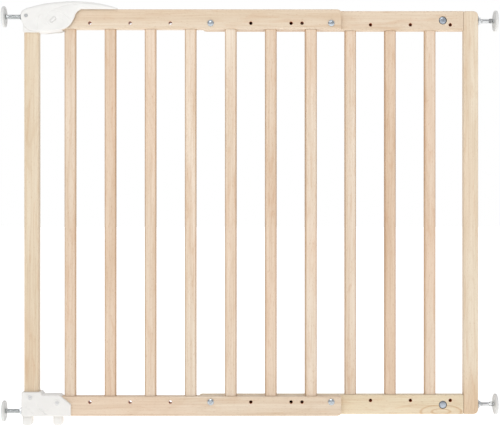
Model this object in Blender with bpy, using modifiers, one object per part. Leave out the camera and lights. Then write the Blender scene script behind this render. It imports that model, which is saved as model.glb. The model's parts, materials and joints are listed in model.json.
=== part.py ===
"""Extending wooden safety gate: two overlapping comb frames, a cam handle and four wall spindles.

Metres, +Z up. X runs across the doorway, Y through it. The origin is on the floor, midway between
the two walls. The latch half (handle, left) lies in the plane y = -PLANE_Y, the hinge half
(right) in the plane y = +PLANE_Y, and the rails of the two overlap in the middle.
"""
import math

import bmesh
import bpy
from mathutils import Matrix, Vector

MM = 0.001
GAP = 0.3 * MM  # air between two pieces that touch

# the doorway and the two frames
WALL_X = 444.5 * MM  # wall face of the pads, each way from the middle
MID_Z = 380.5 * MM  # middle of the frame above the floor
HALF_HEIGHT = 363 * MM
PLANE_Y = 9.15 * MM  # middle of each frame's thickness
WOOD_DEPTH = 18 * MM
POST_WIDTH = 26 * MM
RAIL_HEIGHT = 35 * MM
LATCH_POST_X = -391.5 * MM
HINGE_POST_X = 396.5 * MM
LATCH_RAIL_END_X = 161.5 * MM
HINGE_TOP_RAIL_END_X = -87.5 * MM
HINGE_BOTTOM_RAIL_END_X = -95 * MM
POST_CORNER = 8.5 * MM
RAIL_CORNER = 7 * MM
WOOD_EDGE = 1.5 * MM  # rounding along every wooden edge

# slats and the row of adjusting holes share one pitch
PITCH = 71.8 * MM
SLAT_WIDTH = 20.8 * MM
SLAT_DEPTH = 12 * MM
SLAT_EDGE = 4 * MM
TENON_WIDTH = 16 * MM
TENON_DEPTH = 8 * MM
TENON_LENGTH = 11 * MM
LATCH_SLATS = range(-5, 2)  # slat n stands at (n + 1/2) pitches from the middle
HINGE_SLATS = range(-1, 5)
HOLES = range(-4, 6)  # hole n is n pitches from the middle
SCREWED_HOLES = (-1, 2)
SPARE_HOLE_X = 91.3 * MM
HOLE_Z = 338 * MM
HOLE_RADIUS = 3.05 * MM
BLIND_DEPTH = 14.5 * MM  # of the hinge rails' holes, from their front

# spindles, nuts and pads
SPINDLE_RADIUS = 4 * MM
SPINDLE_BORE = 4.5 * MM
HINGE_SPINDLE_Z = 346 * MM
UPPER_SPINDLE_Z = 350.6 * MM
LOWER_SPINDLE_Z = -355.4 * MM
BARREL_X = 345.7 * MM
BARREL_RADIUS = 7 * MM
PAD_RADIUS = 19 * MM
PAD_THICKNESS = 5 * MM
PIVOT_OFFSET = 10 * MM  # hinge pin to wall face
FORK_RADIUS = 4.3 * MM
TONGUE_HALF = 2.2 * MM
PIN_RADIUS = 1.5 * MM
STEM_RADIUS = 2.5 * MM

# the cam handle, seen from the front
LEVER_HALF_DEPTH = 16.5 * MM
LEVER_SKIN = 3 * MM
CAP_HALF_DEPTH = 13.2 * MM
PIVOT_X, PIVOT_Z = -399.8 * MM, 350.6 * MM
DRIVE_ARM = 9.1 * MM
DRIVE_ANGLE = math.radians(265)
DRIVE_RADIUS = 2.5 * MM
BUTTON_X, BUTTON_Z = -351.8 * MM, 343.3 * MM
BUTTON_TILT = math.radians(41)

FRONT = Vector((0, -1, 0))
RIGHT = Vector((1, 0, 0))
LEFT = Vector((-1, 0, 0))
UP = Vector((0, 0, 1))
BACK = Vector((0, 1, 0))


def collection(name):
    made = bpy.data.collections.new(name)
    bpy.context.scene.collection.children.link(made)
    return made


def material(name, colour, roughness, metallic=0.0):
    made = bpy.data.materials.new(name)
    made.use_nodes = True
    shader = made.node_tree.nodes["Principled BSDF"]
    shader.inputs["Base Color"].default_value = (*colour, 1)
    shader.inputs["Roughness"].default_value = roughness
    shader.inputs["Metallic"].default_value = metallic
    return made


for old in list(bpy.data.objects):
    bpy.data.objects.remove(old)
PARTS = collection("safety_gate")
CUTTERS = collection("cutters")
BEECH = material("beech", (0.80, 0.62, 0.42), 0.5)
PALE_BEECH = material("pale_beech", (0.84, 0.70, 0.51), 0.5)
WHITE = material("white_plastic", (0.86, 0.86, 0.84), 0.35)
GREY = material("grey_rubber", (0.62, 0.62, 0.61), 0.6)
ZINC = material("zinc", (0.62, 0.65, 0.68), 0.3, 1.0)
STEEL = material("spring_steel", (0.45, 0.46, 0.47), 0.35, 1.0)


def add(name, mesh, finish=None):
    """Put a mesh in the scene: with a finish it is a piece, and without one it is a cutter."""
    piece = bpy.data.objects.new(name, mesh)
    if finish is None:
        CUTTERS.objects.link(piece)
        piece.hide_render = True
        piece.display_type = "WIRE"
    else:
        PARTS.objects.link(piece)
        mesh.materials.clear()
        mesh.materials.append(finish)
    return piece


def smooth(mesh):
    mesh.shade_smooth()
    mesh.set_sharp_from_angle(angle=math.radians(35))


def mesh_from(bm, name):
    mesh = bpy.data.meshes.new(name)
    bm.to_mesh(mesh)
    bm.free()
    return mesh


def baked(piece):
    """Turn a piece with its modifiers, or a curve, into one welded mesh in its own object."""
    bpy.context.view_layer.update()
    evaluated = piece.evaluated_get(bpy.context.evaluated_depsgraph_get())
    mesh = bpy.data.meshes.new_from_object(evaluated)
    bm = bmesh.new()
    bm.from_mesh(mesh)
    bmesh.ops.remove_doubles(bm, verts=bm.verts, dist=0.002 * MM)
    bmesh.ops.dissolve_limit(bm, angle_limit=math.radians(0.05), verts=bm.verts, edges=bm.edges)
    bm.to_mesh(mesh)
    bm.free()
    name, matrix, home = piece.name, piece.matrix_world.copy(), piece.users_collection[0]
    finish = piece.data.materials[0] if piece.data.materials else None
    bpy.data.objects.remove(piece)
    made = add(name, mesh, finish if home is PARTS else None)
    made.matrix_world = matrix
    return made


def block(name, low, high, finish=None):
    """A box between two corners, whose heights are measured from the middle of the frame."""
    bm = bmesh.new()
    bmesh.ops.create_cube(bm, size=1)
    size = Vector(high) - Vector(low)
    middle = (Vector(high) + Vector(low)) / 2
    bmesh.ops.transform(bm, matrix=Matrix.Diagonal((*size, 1)), verts=bm.verts)
    bmesh.ops.translate(bm, vec=middle + MID_Z * UP, verts=bm.verts)
    return add(name, mesh_from(bm, name), finish)


def towards(axis, place):
    """The matrix that stands a shape made along Z on a place, turned to run along the axis."""
    turn = UP.rotation_difference(axis).to_matrix().to_4x4()
    return Matrix.Translation(Vector(place) + MID_Z * UP) @ turn


def cylinder(name, start, axis, length, radius, finish=None, sides=24):
    bm = bmesh.new()
    bmesh.ops.create_cone(
        bm, cap_ends=True, segments=sides, radius1=radius, radius2=radius, depth=length
    )
    bmesh.ops.translate(bm, vec=(0, 0, length / 2), verts=bm.verts)
    mesh = mesh_from(bm, name)
    smooth(mesh)
    made = add(name, mesh, finish)
    made.matrix_world = towards(axis, start)
    return made


def turned(name, profile, start, axis, finish=None, sides=24):
    """A profile of (radius, height) pairs, listed from the top down its outer side, turned."""
    bm = bmesh.new()
    points = [bm.verts.new((radius, 0, height)) for radius, height in profile]
    for above, below in zip(points, points[1:]):
        bm.edges.new((above, below))
    made = add(name, mesh_from(bm, name), finish)
    screw = made.modifiers.new("turn", "SCREW")
    screw.steps = sides
    screw.render_steps = sides
    screw.use_merge_vertices = True
    screw.merge_threshold = 0.00001
    made.matrix_world = towards(axis, start)
    made = baked(made)
    smooth(made.data)
    return made


def filleted(corners, steps=4):
    """The outline through (x, z, radius) corners, each rounded by an arc of its radius."""
    outline = []
    count = len(corners)
    for n, (x, z, radius) in enumerate(corners):
        here = Vector((x, z))
        if radius == 0:
            outline.append(here)
            continue
        before = (Vector(corners[n - 1][:2]) - here).normalized()
        after = (Vector(corners[(n + 1) % count][:2]) - here).normalized()
        half = before.angle(after) / 2
        centre = here + (before + after).normalized() * radius / math.sin(half)
        first = here + before * radius / math.tan(half) - centre
        last = here + after * radius / math.tan(half) - centre
        sweep = first.angle_signed(last)
        for step in range(steps + 1):
            turn = Matrix.Rotation(-sweep * step / steps, 2)
            outline.append(centre + turn @ first)
    return outline


def plate_from(name, curve, low_y, high_y, finish):
    """Stand a flat closed curve up in the XZ plane, between two depths."""
    curve.dimensions = "2D"
    curve.fill_mode = "BOTH"
    curve.extrude = (high_y - low_y) / 2
    drawn = bpy.data.objects.new(name, curve)
    home = CUTTERS if finish is None else PARTS
    home.objects.link(drawn)
    if finish is not None:
        curve.materials.append(finish)
    upright = Matrix.Rotation(math.pi / 2, 4, "X")
    drawn.matrix_world = Matrix.Translation((0, (low_y + high_y) / 2, MID_Z)) @ upright
    return baked(drawn)


def plate(name, corners, low_y, high_y, finish=None):
    """A flat piece whose outline has straight sides and filleted corners."""
    outline = filleted(corners)
    curve = bpy.data.curves.new(name, "CURVE")
    spline = curve.splines.new("POLY")
    spline.points.add(len(outline) - 1)
    for point, (x, z) in zip(spline.points, outline):
        point.co = (x, z, 0, 1)
    spline.use_cyclic_u = True
    return plate_from(name, curve, low_y, high_y, finish)


def flowing_plate(name, knots, low_y, high_y, finish, steps=4):
    """A flat piece whose outline flows through its smooth knots and turns at the others."""
    curve = bpy.data.curves.new(name, "CURVE")
    spline = curve.splines.new("BEZIER")
    spline.resolution_u = steps
    spline.bezier_points.add(len(knots) - 1)
    for point, (x, z, flows) in zip(spline.bezier_points, knots):
        point.co = (x * MM, z * MM, 0)
        kind = "AUTO" if flows else "VECTOR"
        point.handle_left_type = kind
        point.handle_right_type = kind
    spline.use_cyclic_u = True
    return plate_from(name, curve, low_y, high_y, finish)


def soften(piece, radius, segments=2):
    """Round the edges of a plate where its faces meet its rim."""
    bevel = piece.modifiers.new("soften", "BEVEL")
    bevel.width = radius
    bevel.segments = segments
    bevel.limit_method = "ANGLE"
    bevel.angle_limit = math.radians(60)
    return baked(piece)


def combine(piece, other, operation):
    boolean = piece.modifiers.new(other.name, "BOOLEAN")
    boolean.operation = operation
    boolean.object = other


def cut(piece, *cutters):
    for cutter in cutters:
        combine(piece, cutter, "DIFFERENCE")
    made = baked(piece)
    smooth(made.data)
    return made


def joined(piece, *others):
    for other in others:
        combine(piece, other, "UNION")
    made = baked(piece)
    for other in others:
        bpy.data.objects.remove(other)
    return made


def as_one(name, pieces):
    """Put several separate cutters in one object."""
    bm = bmesh.new()
    for piece in pieces:
        mesh = piece.data.copy()
        mesh.transform(piece.matrix_world)
        bm.from_mesh(mesh)
        bpy.data.objects.remove(piece)
    return add(name, mesh_from(bm, name))


def hexagon(name, start, axis, length, across, bore, finish):
    """A hexagon nut of the given width across flats, with its hole."""
    nut = cylinder(name, start, axis, length, across / math.sqrt(3), finish, sides=6)
    hole = cylinder(name + "_hole", Vector(start) - axis * MM, axis, length + 2 * MM, bore)
    return cut(nut, hole)


# ---------------------------------------------------------------------------------- wooden frames


def hole_cutter(name, places, start_y, length):
    """Drills for the adjusting holes of one frame's two rails."""
    drills = []
    for z in (HOLE_Z, -HOLE_Z):
        for x in places:
            start = (x, start_y, z)
            drills.append(cylinder("drill", start, BACK, length, HOLE_RADIUS, sides=16))
    return as_one(name, drills)


def mortise_cutter(name, slats, plane):
    reach = HALF_HEIGHT - RAIL_HEIGHT + TENON_LENGTH + MM
    half_width = TENON_WIDTH / 2 + GAP
    half_depth = TENON_DEPTH / 2 + GAP
    chisels = []
    for n in slats:
        x = (n + 0.5) * PITCH
        low = (x - half_width, plane - half_depth, -reach)
        high = (x + half_width, plane + half_depth, reach)
        chisels.append(block("chisel", low, high))
    return as_one(name, chisels)


def slats(prefix, numbers, plane, mesh):
    made = []
    for count, n in enumerate(numbers, start=1):
        slat = bpy.data.objects.new(f"{prefix}_slat_{count}", mesh)
        PARTS.objects.link(slat)
        slat.location = ((n + 0.5) * PITCH, plane, MID_Z)
        made.append(slat)
    return made


def slat_mesh():
    """One slat standing on the origin's column: a rounded bar with a tenon at each end."""
    half = HALF_HEIGHT - RAIL_HEIGHT - GAP
    corner = Vector((SLAT_WIDTH / 2, SLAT_DEPTH / 2, half))
    bar = block("slat", -corner, corner, BEECH)
    bm = bmesh.new()
    bm.from_mesh(bar.data)
    upright = [e for e in bm.edges if abs(e.verts[0].co.z - e.verts[1].co.z) > half]
    bmesh.ops.bevel(
        bm, geom=upright, offset=SLAT_EDGE, segments=3, profile=0.5, affect="EDGES"
    )
    bm.to_mesh(bar.data)
    bm.free()
    reach = half + TENON_LENGTH
    core = block(
        "core",
        (-TENON_WIDTH / 2, -TENON_DEPTH / 2, -reach),
        (TENON_WIDTH / 2, TENON_DEPTH / 2, reach),
    )
    bar = joined(bar, core)
    mesh = bar.data.copy()
    mesh.transform(Matrix.Translation((0, 0, -MID_Z)))
    smooth(mesh)
    bpy.data.objects.remove(bar)
    return mesh


def rail(name, left, right, corners, plane, side, finish):
    """A rail along one edge of a frame. side is 1 at the top and -1 at the bottom."""
    outer = side * HALF_HEIGHT
    inner = side * (HALF_HEIGHT - RAIL_HEIGHT)
    left_outer, left_inner, right_outer, right_inner = corners
    outline = [
        (left, outer, left_outer),
        (right, outer, right_outer),
        (right, inner, right_inner),
        (left, inner, left_inner),
    ]
    if side < 0:
        outline.reverse()
    made = plate(name, outline, plane - WOOD_DEPTH / 2, plane + WOOD_DEPTH / 2, finish)
    return soften(made, WOOD_EDGE)


def post(name, x, outward, plane):
    """An upright whose two outward corners are rounded. outward is -1 or 1."""
    outer = x + outward * POST_WIDTH / 2
    inner = x - outward * POST_WIDTH / 2
    outline = [
        (outer, -HALF_HEIGHT, POST_CORNER),
        (inner, -HALF_HEIGHT, 0),
        (inner, HALF_HEIGHT, 0),
        (outer, HALF_HEIGHT, POST_CORNER),
    ]
    if outward > 0:
        outline.reverse()
    made = plate(name, outline, plane - WOOD_DEPTH / 2, plane + WOOD_DEPTH / 2, PALE_BEECH)
    return soften(made, WOOD_EDGE)


LATCH_Y = -PLANE_Y
HINGE_Y = PLANE_Y
LATCH_INNER_X = LATCH_POST_X + POST_WIDTH / 2
LATCH_OUTER_X = LATCH_POST_X - POST_WIDTH / 2
HINGE_INNER_X = HINGE_POST_X - POST_WIDTH / 2
HINGE_OUTER_X = HINGE_POST_X + POST_WIDTH / 2

hole_places = [n * PITCH for n in HOLES]
latch_front = LATCH_Y - WOOD_DEPTH / 2
hinge_front = HINGE_Y - WOOD_DEPTH / 2
through = WOOD_DEPTH + 2 * MM
latch_drills = hole_cutter(
    "latch_drills", [*hole_places, SPARE_HOLE_X], latch_front - MM, through
)
hinge_drills = hole_cutter("hinge_drills", hole_places, hinge_front - MM, BLIND_DEPTH + MM)
latch_mortises = mortise_cutter("latch_mortises", LATCH_SLATS, LATCH_Y)
hinge_mortises = mortise_cutter("hinge_mortises", HINGE_SLATS, HINGE_Y)

# clearance bores for the spindles of the latch side, through the post and into the rails' ends
upper_bore = cylinder(
    "upper_bore", (-410 * MM, LATCH_Y, UPPER_SPINDLE_Z), RIGHT, 50 * MM, SPINDLE_BORE
)
lower_bore = cylinder(
    "lower_bore", (-420 * MM, LATCH_Y, LOWER_SPINDLE_Z), RIGHT, 60 * MM, SPINDLE_BORE
)

latch_rails = []
for level, side, bore in (("top", 1, upper_bore), ("bottom", -1, lower_bore)):
    made = rail(
        f"latch_{level}_rail",
        LATCH_INNER_X + GAP,
        LATCH_RAIL_END_X,
        (0, 0, RAIL_CORNER, 2 * MM),
        LATCH_Y,
        side,
        BEECH,
    )
    latch_rails.append(cut(made, latch_mortises, latch_drills, bore))

# the hinge side: each spindle runs through the post into a barrel nut in the rail's end
hinge_bores = []
barrel_holes = []
for side in (1, -1):
    z = side * HINGE_SPINDLE_Z
    bore = cylinder("hinge_bore", (312 * MM, HINGE_Y, z), RIGHT, 110 * MM, SPINDLE_BORE)
    hinge_bores.append(bore)
    start = (BARREL_X, -MM, z)
    barrel_holes.append(cylinder("barrel_hole", start, BACK, 17.5 * MM, BARREL_RADIUS + GAP))
hinge_bore_pair = as_one("hinge_bores", hinge_bores)
barrel_hole_pair = as_one("barrel_holes", barrel_holes)

hinge_rails = []
for level, side, end_x in (
    ("top", 1, HINGE_TOP_RAIL_END_X),
    ("bottom", -1, HINGE_BOTTOM_RAIL_END_X),
):
    made = rail(
        f"hinge_{level}_rail",
        end_x,
        HINGE_INNER_X - GAP,
        (2 * MM, RAIL_CORNER, 0, 0),
        HINGE_Y,
        side,
        BEECH,
    )
    hinge_rails.append(
        cut(made, hinge_mortises, hinge_drills, hinge_bore_pair, barrel_hole_pair)
    )
hinge_post = cut(post("hinge_post", HINGE_POST_X, 1, HINGE_Y), hinge_bore_pair)

one_slat = slat_mesh()
latch_slats = slats("latch", LATCH_SLATS, LATCH_Y, one_slat)
hinge_slats = slats("hinge", HINGE_SLATS, HINGE_Y, one_slat)

# the latch post is forked at the top for the cam's slider, with a slot for the drive pin
SLOT_HALF = 5.5 * MM
SLOT_FLOOR = 332 * MM
SLOT_END_X = -384 * MM
fork_slot = block(
    "fork_slot",
    (LATCH_OUTER_X - 5 * MM, LATCH_Y - SLOT_HALF, SLOT_FLOOR),
    (SLOT_END_X, LATCH_Y + SLOT_HALF, HALF_HEIGHT + 5 * MM),
)


def drive_place(angle):
    x = PIVOT_X + DRIVE_ARM * math.cos(angle)
    z = PIVOT_Z + DRIVE_ARM * math.sin(angle)
    return x, z


LIFT = math.radians(40)
drive_rest = drive_place(DRIVE_ANGLE)
drive_lifted = drive_place(DRIVE_ANGLE + LIFT)
drive_clear = DRIVE_RADIUS + 0.4 * MM
drive_slot = plate(
    "drive_slot",
    [
        (drive_rest[0] - drive_clear, PIVOT_Z - DRIVE_ARM - drive_clear, 2.5 * MM),
        (drive_lifted[0] + drive_clear, PIVOT_Z - DRIVE_ARM - drive_clear, 2.5 * MM),
        (drive_lifted[0] + drive_clear, drive_lifted[1] + drive_clear, 2.5 * MM),
        (drive_rest[0] - drive_clear, drive_lifted[1] + drive_clear, 2.5 * MM),
    ],
    LATCH_Y - 20 * MM,
    LATCH_Y + 20 * MM,
)
PIVOT_RADIUS = 3 * MM
pivot_bore = cylinder(
    "pivot_bore",
    (PIVOT_X, LATCH_Y - 20 * MM, PIVOT_Z),
    BACK,
    40 * MM,
    PIVOT_RADIUS + GAP,
)
BRACKET_SCREWS = ((-393 * MM, -328.8 * MM), (-344.7 * MM, -338.5 * MM))
BRACKET_SCREW_RADIUS = 2 * MM
screw_bores = as_one(
    "bracket_screw_bores",
    [
        cylinder(
            "bore",
            (x, LATCH_Y - 20 * MM, z),
            BACK,
            40 * MM,
            BRACKET_SCREW_RADIUS + GAP,
            sides=16,
        )
        for x, z in BRACKET_SCREWS
    ],
)
latch_post = cut(
    post("latch_post", LATCH_POST_X, -1, LATCH_Y),
    fork_slot,
    drive_slot,
    pivot_bore,
    upper_bore,
    lower_bore,
    screw_bores,
)
latch_rails[1] = cut(latch_rails[1], screw_bores)

# ------------------------------------------------------------------------------------ wall pads


def pad_profile(pocket):
    """A wall pad from its wall face down: a flat disc with a rounded rim, and a ball pocket."""
    rim = 2 * MM
    outline = [(0, PAD_THICKNESS), (PAD_RADIUS - rim, PAD_THICKNESS)]
    for step in range(1, 6):
        angle = math.pi * step / 6
        half = PAD_THICKNESS / 2
        outline.append((PAD_RADIUS - rim + rim * math.sin(angle), half + half * math.cos(angle)))
    outline.append((PAD_RADIUS - rim, 0))
    if pocket:
        radius = SPINDLE_RADIUS + GAP
        offset = 0.6 * MM
        start = math.asin(offset / radius)
        for step in range(5):
            angle = start + (math.pi / 2 - start) * step / 4
            height = max(radius * math.sin(angle) - offset, 0)
            outline.append((radius * math.cos(angle) if step < 4 else 0, height))
    else:
        outline.append((0, 0))
    return outline


def hinge_pad(level, z):
    """A fixed pad of the hinge side, and the clevis that holds the spindle's end on its pin."""
    face = WALL_X - PAD_THICKNESS
    pivot = WALL_X - PIVOT_OFFSET
    pad = turned(f"hinge_pad_{level}", pad_profile(False), (face, HINGE_Y, z), RIGHT, WHITE, 32)
    start = (face - MM, HINGE_Y, z)
    cut(pad, cylinder("stem_hole", start, RIGHT, 4.3 * MM, STEM_RADIUS + GAP))

    start = (pivot, HINGE_Y, z)
    length = face - GAP - pivot
    clevis = cylinder(f"hinge_clevis_{level}", start, RIGHT, length, FORK_RADIUS, ZINC)
    nose_half = FORK_RADIUS - 0.2 * MM
    start = (pivot, HINGE_Y, z - nose_half)
    nose = cylinder("nose", start, UP, 2 * nose_half, FORK_RADIUS - 0.05 * MM, ZINC, sides=30)
    start = (face - 1.2 * MM, HINGE_Y, z)
    stem = cylinder("stem", start, RIGHT, 4.2 * MM, STEM_RADIUS, ZINC)
    clevis = joined(clevis, nose, stem)
    mouth_half = TONGUE_HALF + GAP
    low = (pivot - 8 * MM, HINGE_Y - 8 * MM, z - mouth_half)
    mouth = block("mouth", low, (face - 1.2 * MM, HINGE_Y + 8 * MM, z + mouth_half))
    start = (pivot, HINGE_Y, z - 8 * MM)
    pin_hole = cylinder("pin_hole", start, UP, 16 * MM, PIN_RADIUS + GAP, sides=16)
    cut(clevis, mouth, pin_hole)
    start = (pivot, HINGE_Y, z - FORK_RADIUS)
    cylinder(f"hinge_pin_{level}", start, UP, 2 * FORK_RADIUS, PIN_RADIUS, ZINC, sides=16)


def hinge_spindle(level, z):
    """A threaded rod whose outer end is flattened to a tongue on the pad's pin."""
    pivot = WALL_X - PIVOT_OFFSET
    shoulder = pivot - FORK_RADIUS - 0.6 * MM
    inner = 328 * MM
    start = (inner, HINGE_Y, z)
    rod = cylinder(f"hinge_spindle_{level}", start, RIGHT, shoulder - inner, SPINDLE_RADIUS, ZINC)
    low = (shoulder - 2 * MM, HINGE_Y - 3.4 * MM, z - TONGUE_HALF)
    tongue = block("tongue", low, (pivot, HINGE_Y + 3.4 * MM, z + TONGUE_HALF), ZINC)
    start = (pivot, HINGE_Y, z - TONGUE_HALF)
    eye = cylinder("eye", start, UP, 2 * TONGUE_HALF, 3.4 * MM, ZINC, sides=16)
    rod = joined(rod, tongue, eye)
    start = (pivot, HINGE_Y, z - 8 * MM)
    return cut(rod, cylinder("eye_hole", start, UP, 16 * MM, PIN_RADIUS + GAP, sides=16))


def flange_nut(name, start, axis, flange_radius, finish):
    """A flanged lock nut on a spindle. The flange is at the start."""
    hexagon_nut = hexagon(name, start, axis, 4.6 * MM, 12 * MM, SPINDLE_RADIUS + GAP, finish)
    flange = cylinder("flange", start, axis, 1.6 * MM, flange_radius, finish)
    begin = Vector(start) - axis * MM
    hole = cylinder("flange_hole", begin, axis, 8 * MM, SPINDLE_RADIUS + GAP)
    return joined(hexagon_nut, cut(flange, hole))


hinge_spindles, hinge_nuts, barrels = [], [], []
for level, side in (("top", 1), ("bottom", -1)):
    z = side * HINGE_SPINDLE_Z
    hinge_pad(level, z)
    hinge_spindles.append(hinge_spindle(level, z))
    start = (HINGE_OUTER_X + GAP, HINGE_Y, z)
    hinge_nuts.append(flange_nut(f"hinge_lock_nut_{level}", start, RIGHT, 9 * MM, ZINC))
    start = (BARREL_X, HINGE_Y - WOOD_DEPTH / 2 + GAP, z)
    barrel = cylinder(f"barrel_nut_{level}", start, BACK, 15.5 * MM, BARREL_RADIUS, ZINC)
    start = (BARREL_X - 10 * MM, HINGE_Y, z)
    bore = cylinder("barrel_bore", start, RIGHT, 20 * MM, SPINDLE_RADIUS + GAP)
    barrels.append(cut(barrel, bore))


def latch_pad(level, z):
    """A pad of the latch side, which tilts on the round end of its spindle."""
    start = (-WALL_X + PAD_THICKNESS, LATCH_Y, z)
    return turned(f"latch_pad_{level}", pad_profile(True), start, LEFT, WHITE, 32)


BALL_X = -WALL_X + PAD_THICKNESS + 0.6 * MM


def latch_spindle(level, z, inner):
    length = inner - BALL_X
    profile = [(0, SPINDLE_RADIUS)]
    for step in range(1, 5):
        angle = math.pi / 2 * step / 4
        profile.append((SPINDLE_RADIUS * math.sin(angle), SPINDLE_RADIUS * math.cos(angle)))
    profile[-1] = (SPINDLE_RADIUS, 0)
    profile += [(SPINDLE_RADIUS, -length), (0, -length)]
    return turned(f"latch_spindle_{level}", profile, (BALL_X, LATCH_Y, z), LEFT, ZINC)


upper_pad = latch_pad("top", UPPER_SPINDLE_Z)
lower_pad = latch_pad("bottom", LOWER_SPINDLE_Z)
upper_spindle = latch_spindle("top", UPPER_SPINDLE_Z, -394 * MM)
lower_spindle = latch_spindle("bottom", LOWER_SPINDLE_Z, -380 * MM)

# ----------------------------------------------------------------------- handle, cap and slider

# wood of the latch side's corners, with air all round it
wood_low = LATCH_Y - WOOD_DEPTH / 2 - GAP
wood_high = LATCH_Y + WOOD_DEPTH / 2 + GAP
post_envelope = block(
    "post_envelope",
    (LATCH_OUTER_X - GAP, wood_low, -HALF_HEIGHT - 5 * MM),
    (LATCH_INNER_X + GAP, wood_high, HALF_HEIGHT + GAP),
)
rail_inside = HALF_HEIGHT - RAIL_HEIGHT - GAP
top_rail_envelope = block(
    "top_rail_envelope",
    (LATCH_POST_X, wood_low, rail_inside),
    (-250 * MM, wood_high, HALF_HEIGHT + GAP),
)
bottom_rail_envelope = block(
    "bottom_rail_envelope",
    (LATCH_POST_X, wood_low, -HALF_HEIGHT - 5 * MM),
    (-250 * MM, wood_high, -rail_inside),
)
slider_mouth = block(
    "slider_mouth",
    (LATCH_OUTER_X - 6 * MM, LATCH_Y - 6.5 * MM, SLOT_FLOOR),
    (LATCH_POST_X, LATCH_Y + 6.5 * MM, HALF_HEIGHT),
)

CAP_CORNERS = [
    (-406 * MM, 321.2 * MM, 1.5 * MM),
    (-379 * MM, 321.2 * MM, 20 * MM),
    (-338 * MM, 326.2 * MM, 1 * MM),
    (-338 * MM, 328.6 * MM, 1 * MM),
    (-366 * MM, 334 * MM, 4 * MM),
    (-366 * MM, 357 * MM, 3 * MM),
    (-399 * MM, 357 * MM, 6 * MM),
    (-406 * MM, 350 * MM, 3 * MM),
]
caps = []
for name, low_y, high_y in (
    ("handle_cap_front", LATCH_Y - CAP_HALF_DEPTH, LATCH_Y - GAP / 2),
    ("handle_cap_rear", LATCH_Y + GAP / 2, LATCH_Y + CAP_HALF_DEPTH),
):
    shell = plate(name, CAP_CORNERS, low_y, high_y, WHITE)
    cutters = (post_envelope, top_rail_envelope, slider_mouth, drive_slot, pivot_bore)
    caps.append(cut(shell, *cutters))

# the lever's outline from the front, in millimetres from the frame's middle: up the left end,
# over the crown to the tip, back along the rail, and down the thumb curve
LEVER_KNOTS = [
    (-408.6, 341.0, False),
    (-409.7, 352.0, True),
    (-407.4, 359.6, True),
    (-389.0, 367.6, True),
    (-339.0, 375.8, True),
    (-300.0, 376.4, True),
    (-268.0, 372.6, True),
    (-237.0, 363.6, True),
    (-234.6, 361.2, False),
    (-302.5, 361.2, False),
    (-309.8, 356.4, True),
    (-315.8, 343.5, True),
    (-325.2, 331.0, True),
    (-342.0, 323.8, False),
    (-389.0, 323.8, True),
    (-402.2, 331.0, True),
]
lever = flowing_plate(
    "handle_lever",
    LEVER_KNOTS,
    LATCH_Y - LEVER_HALF_DEPTH,
    LATCH_Y + LEVER_HALF_DEPTH,
    WHITE,
)
lever = soften(lever, 1.8 * MM)
skin_inside = LEVER_HALF_DEPTH - LEVER_SKIN
ROOF_UNDERSIDE = HALF_HEIGHT + 1.2 * MM
lever_channel = block(
    "lever_channel",
    (-430 * MM, LATCH_Y - skin_inside, 300 * MM),
    (-200 * MM, LATCH_Y + skin_inside, ROOF_UNDERSIDE),
)
rear_skirt = block(
    "rear_skirt",
    (-313.5 * MM, LATCH_Y + 5 * MM, 300 * MM),
    (-200 * MM, LATCH_Y + 30 * MM, ROOF_UNDERSIDE),
)
drive_hole = cylinder(
    "drive_hole",
    (drive_rest[0], LATCH_Y - LEVER_HALF_DEPTH + 0.7 * MM, drive_rest[1]),
    BACK,
    2 * LEVER_HALF_DEPTH - 1.4 * MM,
    DRIVE_RADIUS + GAP,
    sides=16,
)


def pill(name, length, width, low_y, high_y, finish=None):
    """A round-ended plate lying along the catch's slanted line."""
    half = length / 2
    r = width / 2
    rounding = 0.999 * r
    corners = [(x, y, rounding) for x, y in ((-half, -r), (half, -r), (half, r), (-half, r))]
    turn = Matrix.Rotation(BUTTON_TILT, 2)
    placed = []
    for x, z, radius in corners:
        point = turn @ Vector((x, z)) + Vector((BUTTON_X, BUTTON_Z))
        placed.append((*point, radius))
    return plate(name, placed, low_y, high_y, finish)


SKIN_OUTER_Y = LATCH_Y - LEVER_HALF_DEPTH
SKIN_INNER_Y = SKIN_OUTER_Y + LEVER_SKIN
button_window = pill("button_window", 13 * MM, 6 * MM, SKIN_OUTER_Y - 3 * MM, SKIN_INNER_Y + MM)
lever = cut(lever, lever_channel, rear_skirt, pivot_bore, drive_hole, button_window)

face_y = SKIN_OUTER_Y - 1.2 * MM
button = pill("release_button", 12.2 * MM, 5.2 * MM, face_y, SKIN_INNER_Y + MM, WHITE)
flange = pill("flange", 15 * MM, 8 * MM, SKIN_INNER_Y + GAP, SKIN_INNER_Y + 1.3 * MM, WHITE)
button = joined(button, flange)

SPRING_BACK_Y = LATCH_Y - WOOD_DEPTH / 2 - 0.5 * MM
leaf = block(
    "button_spring",
    (BUTTON_X - 10 * MM, SPRING_BACK_Y - 0.5 * MM, BUTTON_Z - 2.5 * MM),
    (BUTTON_X + 10 * MM, SPRING_BACK_Y, BUTTON_Z + 2.5 * MM),
    STEEL,
)
feet = [
    block(
        "spring_foot",
        (x - 0.4 * MM, SKIN_INNER_Y + GAP, BUTTON_Z - 2.5 * MM),
        (x + 0.4 * MM, SPRING_BACK_Y - 0.2 * MM, BUTTON_Z + 2.5 * MM),
        STEEL,
    )
    for x in (BUTTON_X - 9.6 * MM, BUTTON_X + 9.6 * MM)
]
button_spring = joined(leaf, *feet)

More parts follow.
